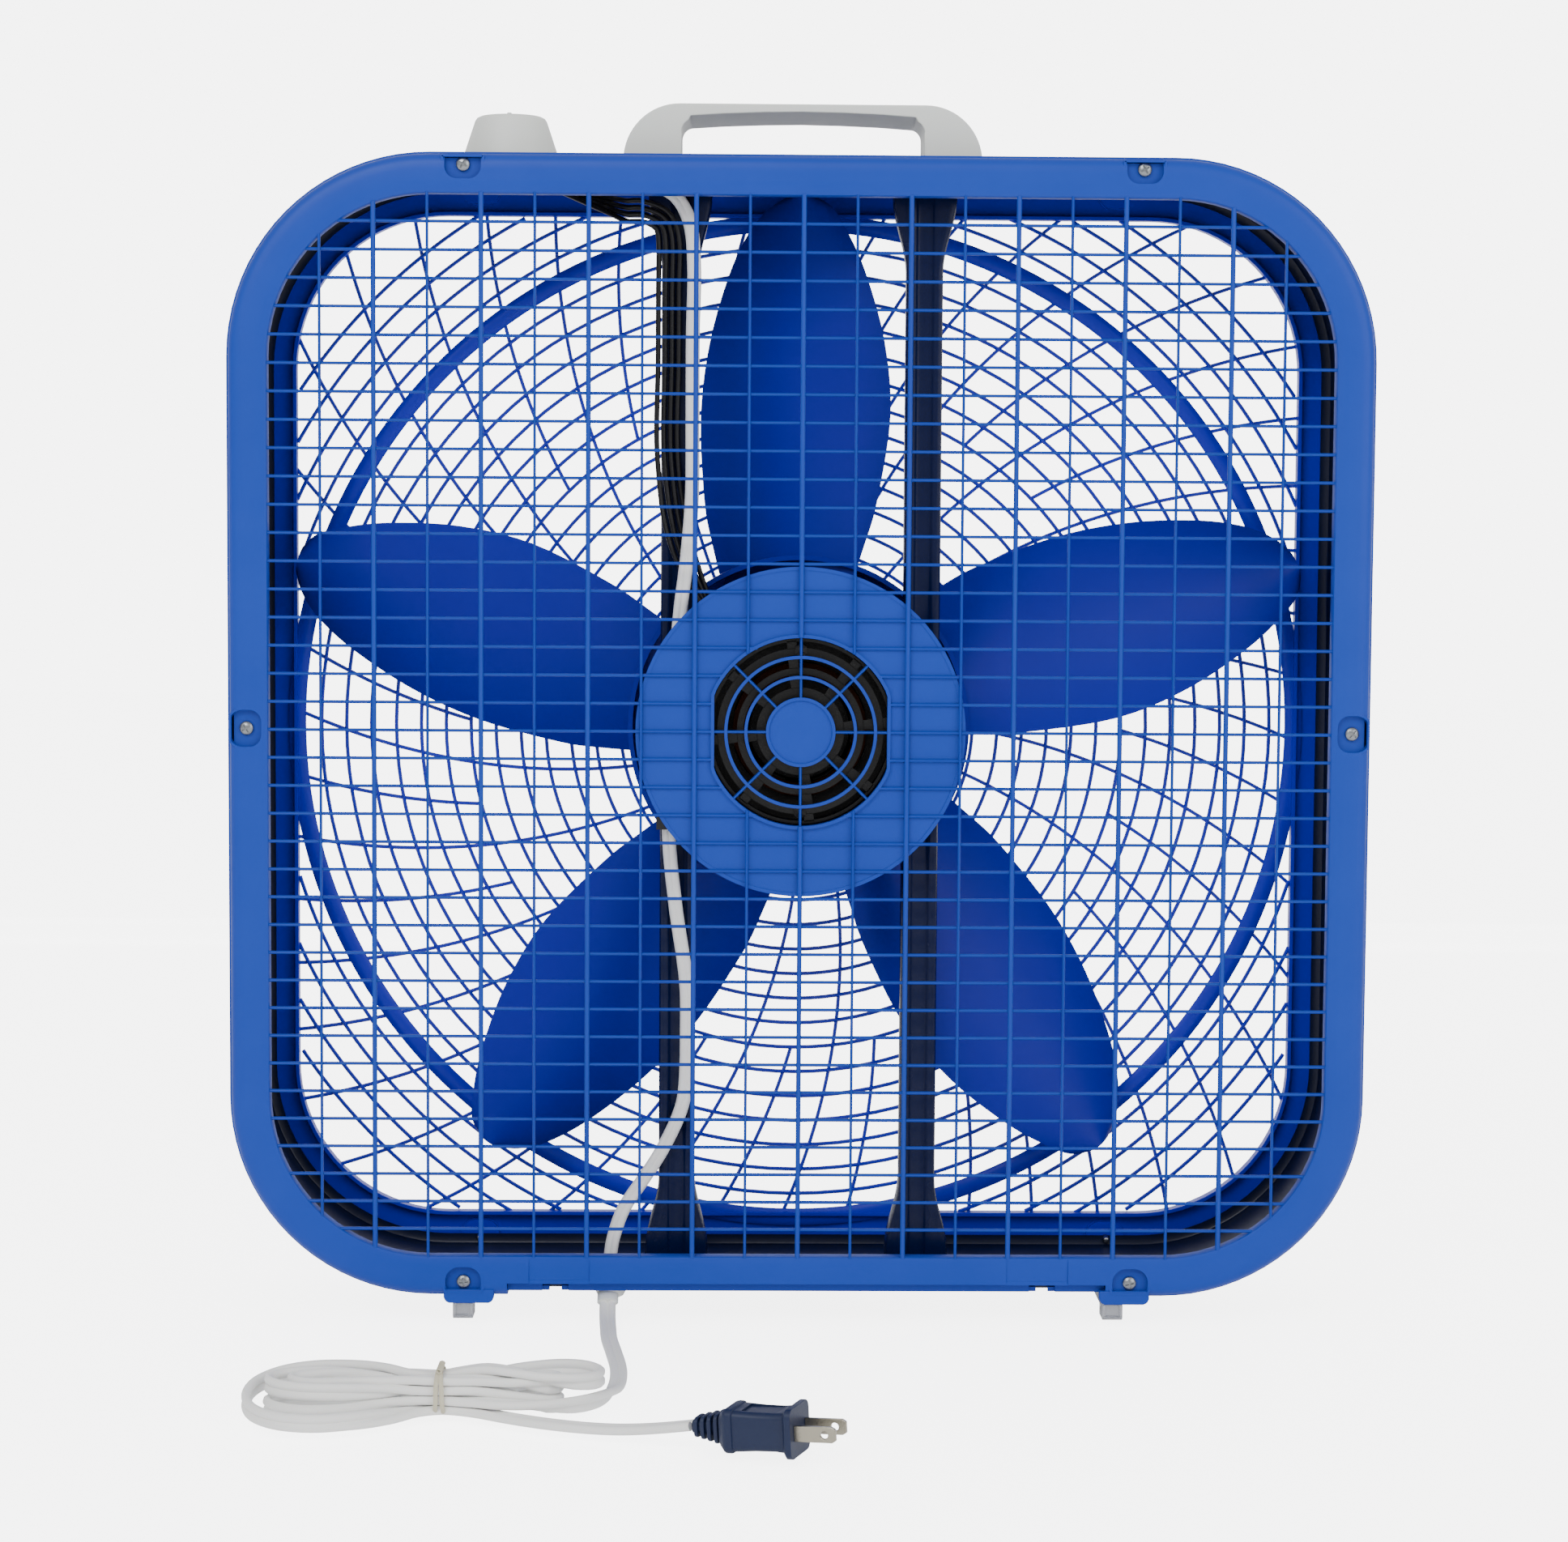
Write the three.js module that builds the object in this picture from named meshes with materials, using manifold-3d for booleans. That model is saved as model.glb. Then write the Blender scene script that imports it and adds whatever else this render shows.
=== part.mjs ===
// A box fan as an assembly of separate pieces, in millimetres.
// +Z is up, +Y is the rear (air inlet) side, the floor is z = 0, and the origin is under the body's middle.
import * as THREE from "three";
import { mergeVertices } from "three/addons/utils/BufferGeometryUtils.js";
import Module from "manifold-3d";

const wasm = await Module();
wasm.setup();

// Driving dimensions
const BODY_HALF = 260;            // half of the square body's outer width and height
const BODY_HALF_DEPTH = 54;       // half of the body's depth, from grille face to grille face
const FLOOR_GAP = 10.5;           // clearance between the body's underside and the floor
const CENTRE_Z = FLOOR_GAP + BODY_HALF;
const CORNER_RADIUS = 92;         // outer radius of the body's corners
const OPENING_HALF = 241;         // half of the grille opening's width
const OPENING_RADIUS = 75;
const GAP = 0.3;                  // clearance between pieces that touch

// Grille mouldings
const RIM_DEPTH = 18;
const RIM_SEGMENTS = 3;           // pairs of facets round each corner
const RIM_CHAMFER = 3;
const RIM_WALL = 2.3;
const FACE_THICKNESS = 2.5;
const LIP_THICKNESS = 2;
const LIP_DEPTH = 7.8;
const BAR_PITCH = 12.7;           // between horizontal bars
const POST_PITCH = 24.15;         // between vertical bars
const BAR_COUNT = 37;
const POST_COUNT = 19;
const VENT_DISC_RADIUS = 75;
const VENT_RADIUS = 43;
const VENT_HALF_WIDTH = 39.3;
const RING_PITCH = 24.1;          // between the rings of the front grille
const THICK_RING_RADIUS = 240;
const INNER_RINGS = 7;            // rings inside the thick one
const RING_COUNT = 9;
const SPOKE_COUNT = 24;
const SPOKE_SWIRL = THREE.MathUtils.degToRad(0.1);   // turn of a spoke for each millimetre of radius

// Steel band
const BAND_HALF = 257.2;
const BAND_RADIUS = 89.2;
const BAND_HALF_DEPTH = 45.7;
const SHEET = 1;
const FLANGE_INNER_HALF = 247;

// Fan and motor, around the axis
const HUB_RADIUS = 80;
const HUB_FRONT = -36;
const HUB_REAR = 4;
const BLADE_COUNT = 5;
const SHAFT_RADIUS = 4;
const STATOR_RADIUS = 42;
const BELL_RADIUS = 45;
const STRUT_X = 56;
const STRUT_HALF_WIDTH = 9;
const STRUT_REAR = 28.2;
const STRUT_SCREW_Y = 22;
const EAR_Z = 28;                 // height of the motor's ears above and below the axis

// Controls and handle
const KNOB_X = 135;
const KNOB_RADIUS = 22;
const HANDLE_HALF_WIDTH = 82.5;
const HANDLE_GAP_HALF_WIDTH = 56;
const HANDLE_TOP = 557;
const HANDLE_GAP_TOP = 551;
const HANDLE_HALF_DEPTH = 17;
const HANDLE_SCREW_X = 69;

// Screw places, as [x, z] on the grille faces
const CORNER_SCREW_X = 153;
const TOP_SCREW_Z = 254;          // above the axis
const BOTTOM_SCREW_Z = -253.2;
const SIDE_SCREW_X = 251;
const SCREW_HOLE_RADIUS = 2.1;
const SHANK_RADIUS = 1.6;
const SCREW_HEAD_RADIUS = 3.1;

// Cord
const CORD_WIDTH = 7.5;
const CORD_THICKNESS = 3.8;
const CORD_EXIT = [87, 47.6, 6.4];
const HANK_HEIGHT = 20;
const LEFT_LOBE = { from: [153.5, 190], to: [234, 256], corner: 29 };
const RIGHT_LOBE = { from: [84, 187], to: [144.5, 228], corner: 18 };

// Materials
const finish = (color, roughness, metalness, extra = {}) =>
  new THREE.MeshStandardMaterial({ color, roughness, metalness, ...extra });
const grilleBlue = finish("#3e6cc4", 0.4, 0);
const frontBlue = finish("#1c32a4", 0.4, 0);
const bandNavy = finish("#14224f", 0.35, 0.3);
const bladeBlue = finish("#1c3ba6", 0.35, 0);
const lightPlastic = finish("#dcdde6", 0.45, 0);
const clearPlastic = finish("#d8dade", 0.2, 0, { transparent: true, opacity: 0.6 });
const whiteVinyl = finish("#e6e6e4", 0.5, 0);
const plugNavy = finish("#2b3a68", 0.5, 0);
const blackVinyl = finish("#15161a", 0.5, 0);
const blackPaint = finish("#111216", 0.4, 0.3);
const zinc = finish("#b9bcc0", 0.3, 1);
const steel = finish("#9da1a6", 0.35, 1);
const copper = finish("#b5673a", 0.4, 1);
const bronze = finish("#a3814d", 0.45, 1);
const blackPlastic = finish("#1b1c20", 0.5, 0);
const tiePaper = finish("#cfc9b4", 0.8, 0);

// ---- Solids -------------------------------------------------------------------------------------

// A closed geometry as a solid that can be joined and cut.
function solid(geometry) {
  const flat = geometry.index ? geometry.toNonIndexed() : geometry;
  const bare = new THREE.BufferGeometry();
  bare.setAttribute("position", flat.getAttribute("position"));
  const merged = mergeVertices(bare, 1e-4);
  const corners = merged.index.array;
  const kept = [];
  for (let i = 0; i < corners.length; i += 3) {
    const [a, b, c] = corners.slice(i, i + 3);
    if (a !== b && b !== c && c !== a) kept.push(a, b, c);
  }
  return new wasm.Manifold(new wasm.Mesh({
    numProp: 3,
    vertProperties: merged.attributes.position.array,
    triVerts: new Uint32Array(kept),
  }));
}

function join(...solids) {
  return solids.flat().reduce((whole, next) => whole.add(next));
}

function cut(whole, ...tools) {
  return tools.flat().reduce((rest, tool) => rest.subtract(tool), whole);
}

// A named mesh made from a solid.
function piece(name, body, material) {
  const mesh = body.getMesh();
  const geometry = new THREE.BufferGeometry();
  geometry.setAttribute("position", new THREE.BufferAttribute(mesh.vertProperties, 3));
  geometry.setIndex(new THREE.BufferAttribute(mesh.triVerts, 1));
  geometry.computeVertexNormals();
  const made = new THREE.Mesh(geometry, material);
  made.name = name;
  return made;
}

function box([x0, x1], [y0, y1], [z0, z1]) {
  const geometry = new THREE.BoxGeometry(x1 - x0, y1 - y0, z1 - z0);
  geometry.translate((x0 + x1) / 2, (y0 + y1) / 2, (z0 + z1) / 2);
  return solid(geometry);
}

// An outline drawn in x and z, extruded from y0 to y1.
function slabY(shape, y0, y1, curveSegments = 5) {
  const geometry = new THREE.ExtrudeGeometry(shape, { depth: y1 - y0, bevelEnabled: false, curveSegments });
  geometry.rotateX(Math.PI / 2);
  geometry.translate(0, y1, 0);
  return solid(geometry);
}

// An outline drawn in x and y, extruded from z0 to z1.
function slabZ(shape, z0, z1, curveSegments = 6) {
  const geometry = new THREE.ExtrudeGeometry(shape, { depth: z1 - z0, bevelEnabled: false, curveSegments });
  geometry.translate(0, 0, z0);
  return solid(geometry);
}

// An outline drawn in y and z, extruded from x0 to x1.
function slabX(shape, x0, x1, curveSegments = 5) {
  const geometry = new THREE.ExtrudeGeometry(shape, { depth: x1 - x0, bevelEnabled: false, curveSegments });
  geometry.rotateX(Math.PI / 2);
  geometry.rotateZ(Math.PI / 2);
  geometry.translate(x0, 0, 0);
  return solid(geometry);
}

// A profile of [radius, y] points turned around the Y axis.
function turnedY(profile, segments) {
  return solid(new THREE.LatheGeometry(profile.map(([r, y]) => new THREE.Vector2(r, y)), segments));
}

// A profile of [radius, z] points turned around the Z axis.
function turnedZ(profile, segments) {
  const geometry = new THREE.LatheGeometry(profile.map(([r, z]) => new THREE.Vector2(r, z)), segments);
  geometry.rotateX(Math.PI / 2);
  return solid(geometry);
}

const rodY = (radius, y0, y1, x = 0, z = 0, sides = 12) =>
  turnedY([[0, y0], [radius, y0], [radius, y1], [0, y1]], sides).translate([x, 0, z]);
const rodZ = (radius, z0, z1, x = 0, y = 0, sides = 12) =>
  turnedZ([[0, z0], [radius, z0], [radius, z1], [0, z1]], sides).translate([x, y, 0]);
const tubeY = (inner, outer, y0, y1, segments) =>
  turnedY([[inner, y0], [outer, y0], [outer, y1], [inner, y1], [inner, y0]], segments);

// ---- Outlines -----------------------------------------------------------------------------------

function polygon(points) {
  return new THREE.Shape(points.map(([x, y]) => new THREE.Vector2(x, y)));
}

// A rectangle with round corners, from its middle, half width and half height.
function roundedRectangle(halfWidth, halfHeight, radius, x = 0, y = 0) {
  const shape = new THREE.Shape();
  const corners = [[1, 1], [-1, 1], [-1, -1], [1, -1]];
  corners.forEach(([sx, sy], i) => {
    const from = i * Math.PI / 2;
    shape.absarc(x + sx * (halfWidth - radius), y + sy * (halfHeight - radius), radius, from, from + Math.PI / 2);
  });
  return shape;
}

const roundedSquare = (half, radius) => roundedRectangle(half, half, radius);

// Part of a flat ring between two radii and two angles.
function ringSector(inner, outer, from, to) {
  const shape = new THREE.Shape();
  shape.absarc(0, 0, outer, from, to, false);
  shape.absarc(0, 0, inner, to, from, true);
  return shape;
}

// A strip of constant width along a line of points.
function strip(points, width) {
  const left = [];
  const right = [];
  points.forEach(([x, y], i) => {
    const [ax, ay] = points[Math.max(i - 1, 0)];
    const [bx, by] = points[Math.min(i + 1, points.length - 1)];
    const length = Math.hypot(bx - ax, by - ay);
    const nx = -(by - ay) / length * width / 2;
    const ny = (bx - ax) / length * width / 2;
    left.push([x + nx, y + ny]);
    right.unshift([x - nx, y - ny]);
  });
  return polygon([...right, ...left]);
}

// Half the opening's width at a height above the axis, and whether a point lies inside the opening.
function openingReach(height) {
  const straight = OPENING_HALF - OPENING_RADIUS;
  const above = Math.max(Math.abs(height) - straight, 0);
  return straight + Math.sqrt(Math.max(OPENING_RADIUS ** 2 - above ** 2, 0));
}
const insideOpening = ([x, z]) => Math.abs(z) < OPENING_HALF && Math.abs(x) < openingReach(z);

// ---- Grilles ------------------------------------------------------------------------------------

// The rim that both grilles share, facing +Y: a face plate with a skirt round the band and a lip inside.
function rim() {
  const back = BODY_HALF_DEPTH - RIM_DEPTH;
  const half = BODY_HALF - RIM_CHAMFER;
  const blank = new THREE.ExtrudeGeometry(roundedSquare(half, CORNER_RADIUS - RIM_CHAMFER), {
    depth: RIM_DEPTH, bevelSize: RIM_CHAMFER, bevelThickness: RIM_CHAMFER, bevelSegments: 1,
    curveSegments: RIM_SEGMENTS,
  });
  blank.rotateX(Math.PI / 2);
  blank.translate(0, BODY_HALF_DEPTH - RIM_CHAMFER, 0);
  const face = BODY_HALF_DEPTH - FACE_THICKNESS;
  const inside = roundedSquare(BODY_HALF - RIM_WALL, CORNER_RADIUS - RIM_WALL);
  const opening = slabY(roundedSquare(OPENING_HALF, OPENING_RADIUS), back, BODY_HALF_DEPTH + 1, RIM_SEGMENTS);
  const lipOutline = roundedSquare(OPENING_HALF + LIP_THICKNESS, OPENING_RADIUS + LIP_THICKNESS);
  const lip = cut(slabY(lipOutline, BODY_HALF_DEPTH - LIP_DEPTH, face + 1, RIM_SEGMENTS), opening);
  const shell = cut(solid(blank),
    box([-BODY_HALF, BODY_HALF], [back - 2 * RIM_CHAMFER - 1, back], [-BODY_HALF, BODY_HALF]),
    slabY(inside, back - 1, face, RIM_SEGMENTS),
    opening);
  return join(shell, lip);
}

// A tab that reaches below the rim over the end of a foot.
function footTab(x) {
  const bottom = -BODY_HALF - 3;
  const shape = polygon([
    [x - 11.5, -BODY_HALF + 1.5], [x - 11.5, bottom + 2], [x - 9.5, bottom],
    [x + 9.5, bottom], [x + 11.5, bottom + 2], [x + 11.5, -BODY_HALF + 1.5],
  ]);
  return slabY(shape, BODY_HALF_DEPTH - 5, BODY_HALF_DEPTH - 1);
}

// Where the screws of the rear grille and of the front grille stand, from the axis.
const cornerScrews = [-1, 1].flatMap((side) =>
  [[side * CORNER_SCREW_X, TOP_SCREW_Z], [side * CORNER_SCREW_X, BOTTOM_SCREW_Z]]);
const sideScrews = [[-SIDE_SCREW_X, 0.5], [SIDE_SCREW_X, 0.5]];

// The rim with a recessed seat for each screw. The seat's floor lies 3.5 mm below the face.
function rimWithSeats(screws) {
  const floor = BODY_HALF_DEPTH - 3.5;
  const seats = screws.map(([x, z]) => {
    const [halfX, halfZ] = Math.abs(x) > 200 ? [6, 7] : [8, 6];
    const left = Math.max(x - halfX, -BODY_HALF + RIM_WALL - 0.5);
    const right = Math.min(x + halfX, BODY_HALF - RIM_WALL + 0.5);
    const low = Math.max(z - halfZ, -BODY_HALF + RIM_WALL - 0.5);
    const high = Math.min(z + halfZ, BODY_HALF - RIM_WALL + 0.5);
    return box([left, right], [BODY_HALF_DEPTH - LIP_DEPTH, BODY_HALF_DEPTH - 1], [low, high]);
  });
  const recesses = screws.map(([x, z]) => {
    const tall = z === TOP_SCREW_Z ? 12 : 4.6;
    const middle = z === TOP_SCREW_Z ? z + 7.4 : z;
    return slabY(roundedRectangle(5.2, tall, 3, x, middle), floor, BODY_HALF_DEPTH + 1, 1);
  });
  const holes = screws.map(([x, z]) => rodY(SCREW_HOLE_RADIUS, 40, BODY_HALF_DEPTH, x, z, 8));
  return cut(join(rim(), seats), recesses, holes);
}

// The slotted vent plate behind the rear bars.
function ventPlate() {
  const y0 = BODY_HALF_DEPTH - 5.2;
  const y1 = BODY_HALF_DEPTH - 2.8;
  const slotRings = [[17.5, 23.8], [25.8, 33], [35, VENT_RADIUS - 1]];
  const slots = slotRings.flatMap(([inner, outer]) =>
    [...Array(8)].map((_, i) => {
      const edge = 1.2 / inner;
      const from = i * Math.PI / 4 + edge;
      return slabY(ringSector(inner, outer, from, from + Math.PI / 4 - 2 * edge), y0 - 1, y1 + 1, 1);
    }));
  const window = box([-VENT_HALF_WIDTH, VENT_HALF_WIDTH], [y0 - 2, y1 + 2], [-VENT_RADIUS, VENT_RADIUS]);
  return cut(rodY(VENT_DISC_RADIUS, y0, y1, 0, 0, 32), join(slots).intersect(window));
}

function rearGrille() {
  const y = BODY_HALF_DEPTH;
  const bars = [...Array(BAR_COUNT)].map((_, i) => {
    const z = (i - (BAR_COUNT - 1) / 2) * BAR_PITCH;
    const reach = openingReach(Math.abs(z) + 1) + 0.6;
    return box([-reach, reach], [y - 3, y - 1.4], [z - 0.7, z + 0.7]);
  });
  const posts = [...Array(POST_COUNT)].map((_, i) => {
    const place = i - (POST_COUNT - 1) / 2;
    const half = place % 2 === 0 ? 0.95 : 0.6;
    const x = place * POST_PITCH;
    const reach = openingReach(Math.abs(x) + 1) + 0.6;
    return box([x - half, x + half], [y - 1.1, y - 0.1], [-reach, reach]);
  });
  const vent = rodY(VENT_RADIUS, y - 10, y + 1, 0, 0, 24)
    .intersect(box([-VENT_HALF_WIDTH, VENT_HALF_WIDTH], [y - 10, y + 1], [-VENT_RADIUS, VENT_RADIUS]));
  const lattice = cut(join(bars), vent);
  const upright = cut(join(posts), vent);
  const frame = join(rimWithSeats([...cornerScrews, ...sideScrews]), footTab(150.5), footTab(-150.5));
  const bottomCut = box([-141.8, 133], [y - RIM_DEPTH - 1, y + 1], [-BODY_HALF - 1, -BODY_HALF + 6.5]);
  return join(cut(frame, bottomCut), lattice, upright, ventPlate());
}

// The front grille: rings and four of the spokes in one layer, and the other spokes in a layer before it.
function frontGrille() {
  const y = -BODY_HALF_DEPTH;
  const opening = slabY(roundedSquare(OPENING_HALF + 1, OPENING_RADIUS + 1), y - 1, y + 6, RIM_SEGMENTS);
  const rings = [...Array(RING_COUNT)].map((_, i) => {
    const place = i - INNER_RINGS;
    const radius = THICK_RING_RADIUS + place * RING_PITCH + (place < 0 ? 2 : 0);
    const half = place === 0 ? 3.5 : 0.8;
    return tubeY(radius - half, radius + half, y + 2, y + 3.6, 30).intersect(opening);
  });
  const spokes = [...Array(SPOKE_COUNT)].map((_, i) => {
    const start = (i + 0.5) * 2 * Math.PI / SPOKE_COUNT;
    const at = (radius) => {
      const angle = start + SPOKE_SWIRL * radius;
      return [-radius * Math.sin(angle), radius * Math.cos(angle)];
    };
    let reach = THICK_RING_RADIUS - 2;
    while (insideOpening(at(reach))) reach += 1;
    const points = [...Array(4)].map((_, k) => at(28 + (reach + 1 - 28) * k / 3));
    const layer = i % 6 === 0 ? 2 : 0.1;
    return slabY(strip(points, 1.6), y + layer, y + layer + 1.6);
  });
  const boss = rodY(34, y + 0.5, y + 3.5, 0, 0, 24);
  const frame = rimWithSeats(cornerScrews).rotate([0, 0, 180]);
  const tabs = join(footTab(150.5), footTab(-150.5)).rotate([0, 0, 180]);
  return join(frame, tabs, join(rings), spokes, boss);
}

// ---- Housing ------------------------------------------------------------------------------------

const bushingPlace = [CORD_EXIT[0], 38];

function housingBand() {
  const inner = BAND_HALF - SHEET;
  const outline = (half, radius, reach) => slabY(roundedSquare(half, radius), -reach, reach, RIM_SEGMENTS);
  const wall = cut(
    outline(BAND_HALF, BAND_RADIUS, BAND_HALF_DEPTH),
    outline(inner, BAND_RADIUS - SHEET, BAND_HALF_DEPTH - SHEET),
    outline(FLANGE_INNER_HALF, BAND_RADIUS - 10, BAND_HALF_DEPTH + 1));
  const holeY = (x, z, side) => rodY(SCREW_HOLE_RADIUS, side * 45 - 3, side * 45 + 3, x, z, 6);
  const holeZ = (radius, x, y, z) => rodZ(radius, z - 4, z + 4, x, y, radius > 4 ? 12 : 6);
  const top = BAND_HALF;
  const holes = [
    ...[...cornerScrews, ...sideScrews].map(([x, z]) => holeY(x, z, 1)),
    ...cornerScrews.map(([x, z]) => holeY(-x, z, -1)),
    ...[-1, 1].map((side) => holeZ(SCREW_HOLE_RADIUS, side * HANDLE_SCREW_X, 0, top)),
    ...[-1, 1].flatMap((side) => [-top, top].map((z) => holeZ(SCREW_HOLE_RADIUS, side * STRUT_X, STRUT_SCREW_Y, z))),
    holeZ(5.4, KNOB_X, 0, top),
    holeZ(5.6, ...bushingPlace, -top),
  ];
  return cut(wall, holes);
}

// A pressed steel channel, open to the front, that flares at both ends into a foot.
function strut() {
  const end = BAND_HALF - SHEET - GAP;
  const web = slabY(polygon([
    [-STRUT_HALF_WIDTH, -end + 38], [-14, -end + 20], [-14, -end], [14, -end], [14, -end + 20],
    [STRUT_HALF_WIDTH, -end + 38], [STRUT_HALF_WIDTH, end - 38], [14, end - 20], [14, end], [-14, end],
    [-14, end - 20], [-STRUT_HALF_WIDTH, end - 38],
  ]), STRUT_REAR - 1.2, STRUT_REAR);
  const sides = [-STRUT_HALF_WIDTH, STRUT_HALF_WIDTH - 1.2].map((x) =>
    box([x, x + 1.2], [15, STRUT_REAR - 0.5], [-end + 0.5, end - 0.5]));
  const rib = box([-2, 2], [STRUT_REAR - 3, STRUT_REAR - 1], [-end + 60, end - 60]);
  const feet = [-end, end - 1.2].map((z) => box([-14, 14], [5, STRUT_REAR], [z, z + 1.2]));
  const footHoles = [-end, end].map((z) => rodZ(SCREW_HOLE_RADIUS, z - 3, z + 3, 0, STRUT_SCREW_Y, 6));
  const earHoles = [-EAR_Z, EAR_Z].map((z) => rodY(SCREW_HOLE_RADIUS, 18, 34, 0, z, 8));
  return cut(join(web, sides, rib, feet), footHoles, earHoles);
}

// A screw with a pan head: its shank runs along -Y from y = 0, and its head stands on y = 0.
const panScrew = (length) => turnedY([
  [0, -length], [SHANK_RADIUS, -length], [SHANK_RADIUS, 0], [SCREW_HEAD_RADIUS, 0],
  [SCREW_HEAD_RADIUS, 1.3], [0, 2.2],
], 6);

// A clear foot under the body: a peg under the front tab and one under the rear tab, and a bridge between.
const FOOT_PEG = 14;
const FOOT_ARCH = 5;
function foot() {
  const under = FLOOR_GAP - 3 - GAP;
  const high = CENTRE_Z - BAND_HALF - GAP;
  const end = BODY_HALF_DEPTH - 2;
  const middle = BODY_HALF_DEPTH - RIM_DEPTH - GAP;
  return slabX(polygon([
    [-end + 3, 0], [-end + FOOT_PEG, 0], [-end + FOOT_PEG, FOOT_ARCH], [end - FOOT_PEG, FOOT_ARCH],
    [end - FOOT_PEG, 0], [end - 3, 0], [end, 3], [end, under], [middle, under], [middle, high],
    [-middle, high], [-middle, under], [-end, under], [-end, 3],
  ]), -4.6, 4.6);
}

function carryHandle() {
  const base = CENTRE_Z + BAND_HALF + GAP;
  const middle = (base + HANDLE_TOP) / 2;
  const half = (HANDLE_TOP - base) / 2;
  const outline = roundedRectangle(HANDLE_HALF_WIDTH, half + 20, 26, 0, middle - 20);
  const crown = slabY(outline, -HANDLE_HALF_DEPTH, HANDLE_HALF_DEPTH, 4);
  const below = box([-100, 100], [-20, 20], [base - 60, base]);
  const gap = roundedRectangle(HANDLE_GAP_HALF_WIDTH, 20, 10, 0, HANDLE_GAP_TOP - 20);
  const fingerGap = slabY(gap, -HANDLE_HALF_DEPTH - 1, HANDLE_HALF_DEPTH + 1, 3);
  const holes = [-1, 1].map((side) => rodZ(SCREW_HOLE_RADIUS, base - 1, base + 12, side * HANDLE_SCREW_X, 0, 8));
  return cut(crown, below, fingerGap, holes);
}

// ---- Fan and motor, with the fan's axis as the local Y axis ---------------------------------------

// Stations along a blade: distance from the axis, the leading and trailing edges sideways, and their depths.
const bladeStations = [
  { along: 70, lead: 25, trail: -37, leadY: 1, trailY: -33 },
  { along: 105, lead: 36, trail: -45, leadY: 1, trailY: -35 },
  { along: 145, lead: 42, trail: -47, leadY: 0.5, trailY: -36 },
  { along: 180, lead: 39, trail: -43, leadY: -1, trailY: -35 },
  { along: 212, lead: 29, trail: -33, leadY: -4, trailY: -32 },
  { along: 236, lead: 19, trail: -22, leadY: -8, trailY: -27 },
  { along: 248, lead: 11, trail: -10, leadY: -12, trailY: -21 },
];
const BLADE_THICKNESS = 2.2;
const BLADE_CAMBER = 5;

// One blade that points up, lofted through its stations.
function blade() {
  const across = 4;
  const rows = bladeStations.map(({ along, lead, trail, leadY, trailY }) => {
    const top = [];
    const bottom = [];
    for (let i = 0; i <= across; i++) {
      const t = i / across;
      const side = THREE.MathUtils.lerp(trail, lead, t);
      const depth = THREE.MathUtils.lerp(trailY, leadY, t) + BLADE_CAMBER * Math.sin(Math.PI * t);
      const half = BLADE_THICKNESS / 2 * (0.45 + 0.55 * Math.sin(Math.PI * t));
      top.push([-side, depth + half, along]);
      bottom.unshift([-side, depth - half, along]);
    }
    return [...top, ...bottom];
  });
  const size = rows[0].length;
  const corner = (row, i) => rows[row][i % size];
  const triangles = [];
  for (let row = 0; row < rows.length - 1; row++) {
    for (let i = 0; i < size; i++) {
      triangles.push(corner(row, i), corner(row, i + 1), corner(row + 1, i + 1));
      triangles.push(corner(row, i), corner(row + 1, i + 1), corner(row + 1, i));
    }
  }
  for (let i = 0; i < across; i++) {
    const last = rows.length - 1;
    const [a, b, c, d] = [i, i + 1, size - 2 - i, size - 1 - i];
    triangles.push(corner(0, a), corner(0, c), corner(0, b), corner(0, a), corner(0, d), corner(0, c));
    triangles.push(corner(last, a), corner(last, b), corner(last, c));
    triangles.push(corner(last, a), corner(last, c), corner(last, d));
  }
  const geometry = new THREE.BufferGeometry();
  geometry.setAttribute("position", new THREE.Float32BufferAttribute(triangles.flat(), 3));
  return solid(geometry);
}

function propeller() {
  const inner = HUB_RADIUS - 2.2;
  const web = HUB_FRONT + 2.2;
  const hub = turnedY([
    [SHAFT_RADIUS + GAP, HUB_FRONT], [HUB_RADIUS - 5, HUB_FRONT], [HUB_RADIUS, HUB_FRONT + 5],
    [HUB_RADIUS, HUB_REAR], [inner, HUB_REAR], [inner, web + 4], [inner - 4, web], [9.5, web],
    [9.5, -20], [SHAFT_RADIUS + GAP, -20], [SHAFT_RADIUS + GAP, HUB_FRONT],
  ], 30);
  const blades = [...Array(BLADE_COUNT)].map((_, i) => blade().rotate([0, 360 / BLADE_COUNT * i, 0]));
  const core = rodY(inner + 0.6, HUB_FRONT - 5, HUB_REAR + 5, 0, 0, 30);
  return join(hub, cut(join(blades), core));
}

// A motor bell: an open cup with a bearing seat. It opens towards -Y and its end plate is at the top.
function bell(y0, y1, boreRadius) {
  const plate = 2;
  return turnedY([
    [boreRadius, y1 - plate], [8.3, y1 - plate], [8.3, y1 - plate - 8.5], [10.8, y1 - plate - 8.5],
    [10.8, y1 - plate], [BELL_RADIUS - 2, y1 - plate], [BELL_RADIUS - 2, y0], [BELL_RADIUS, y0],
    [BELL_RADIUS, y1 - 3], [BELL_RADIUS - 3, y1], [boreRadius, y1], [boreRadius, y1 - plate],
  ], 24);
}

const boltHeights = [-37, 37];
const boltHoles = () => boltHeights.map((z) => rodY(SCREW_HOLE_RADIUS, -20, 50, 0, z, 8));

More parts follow.
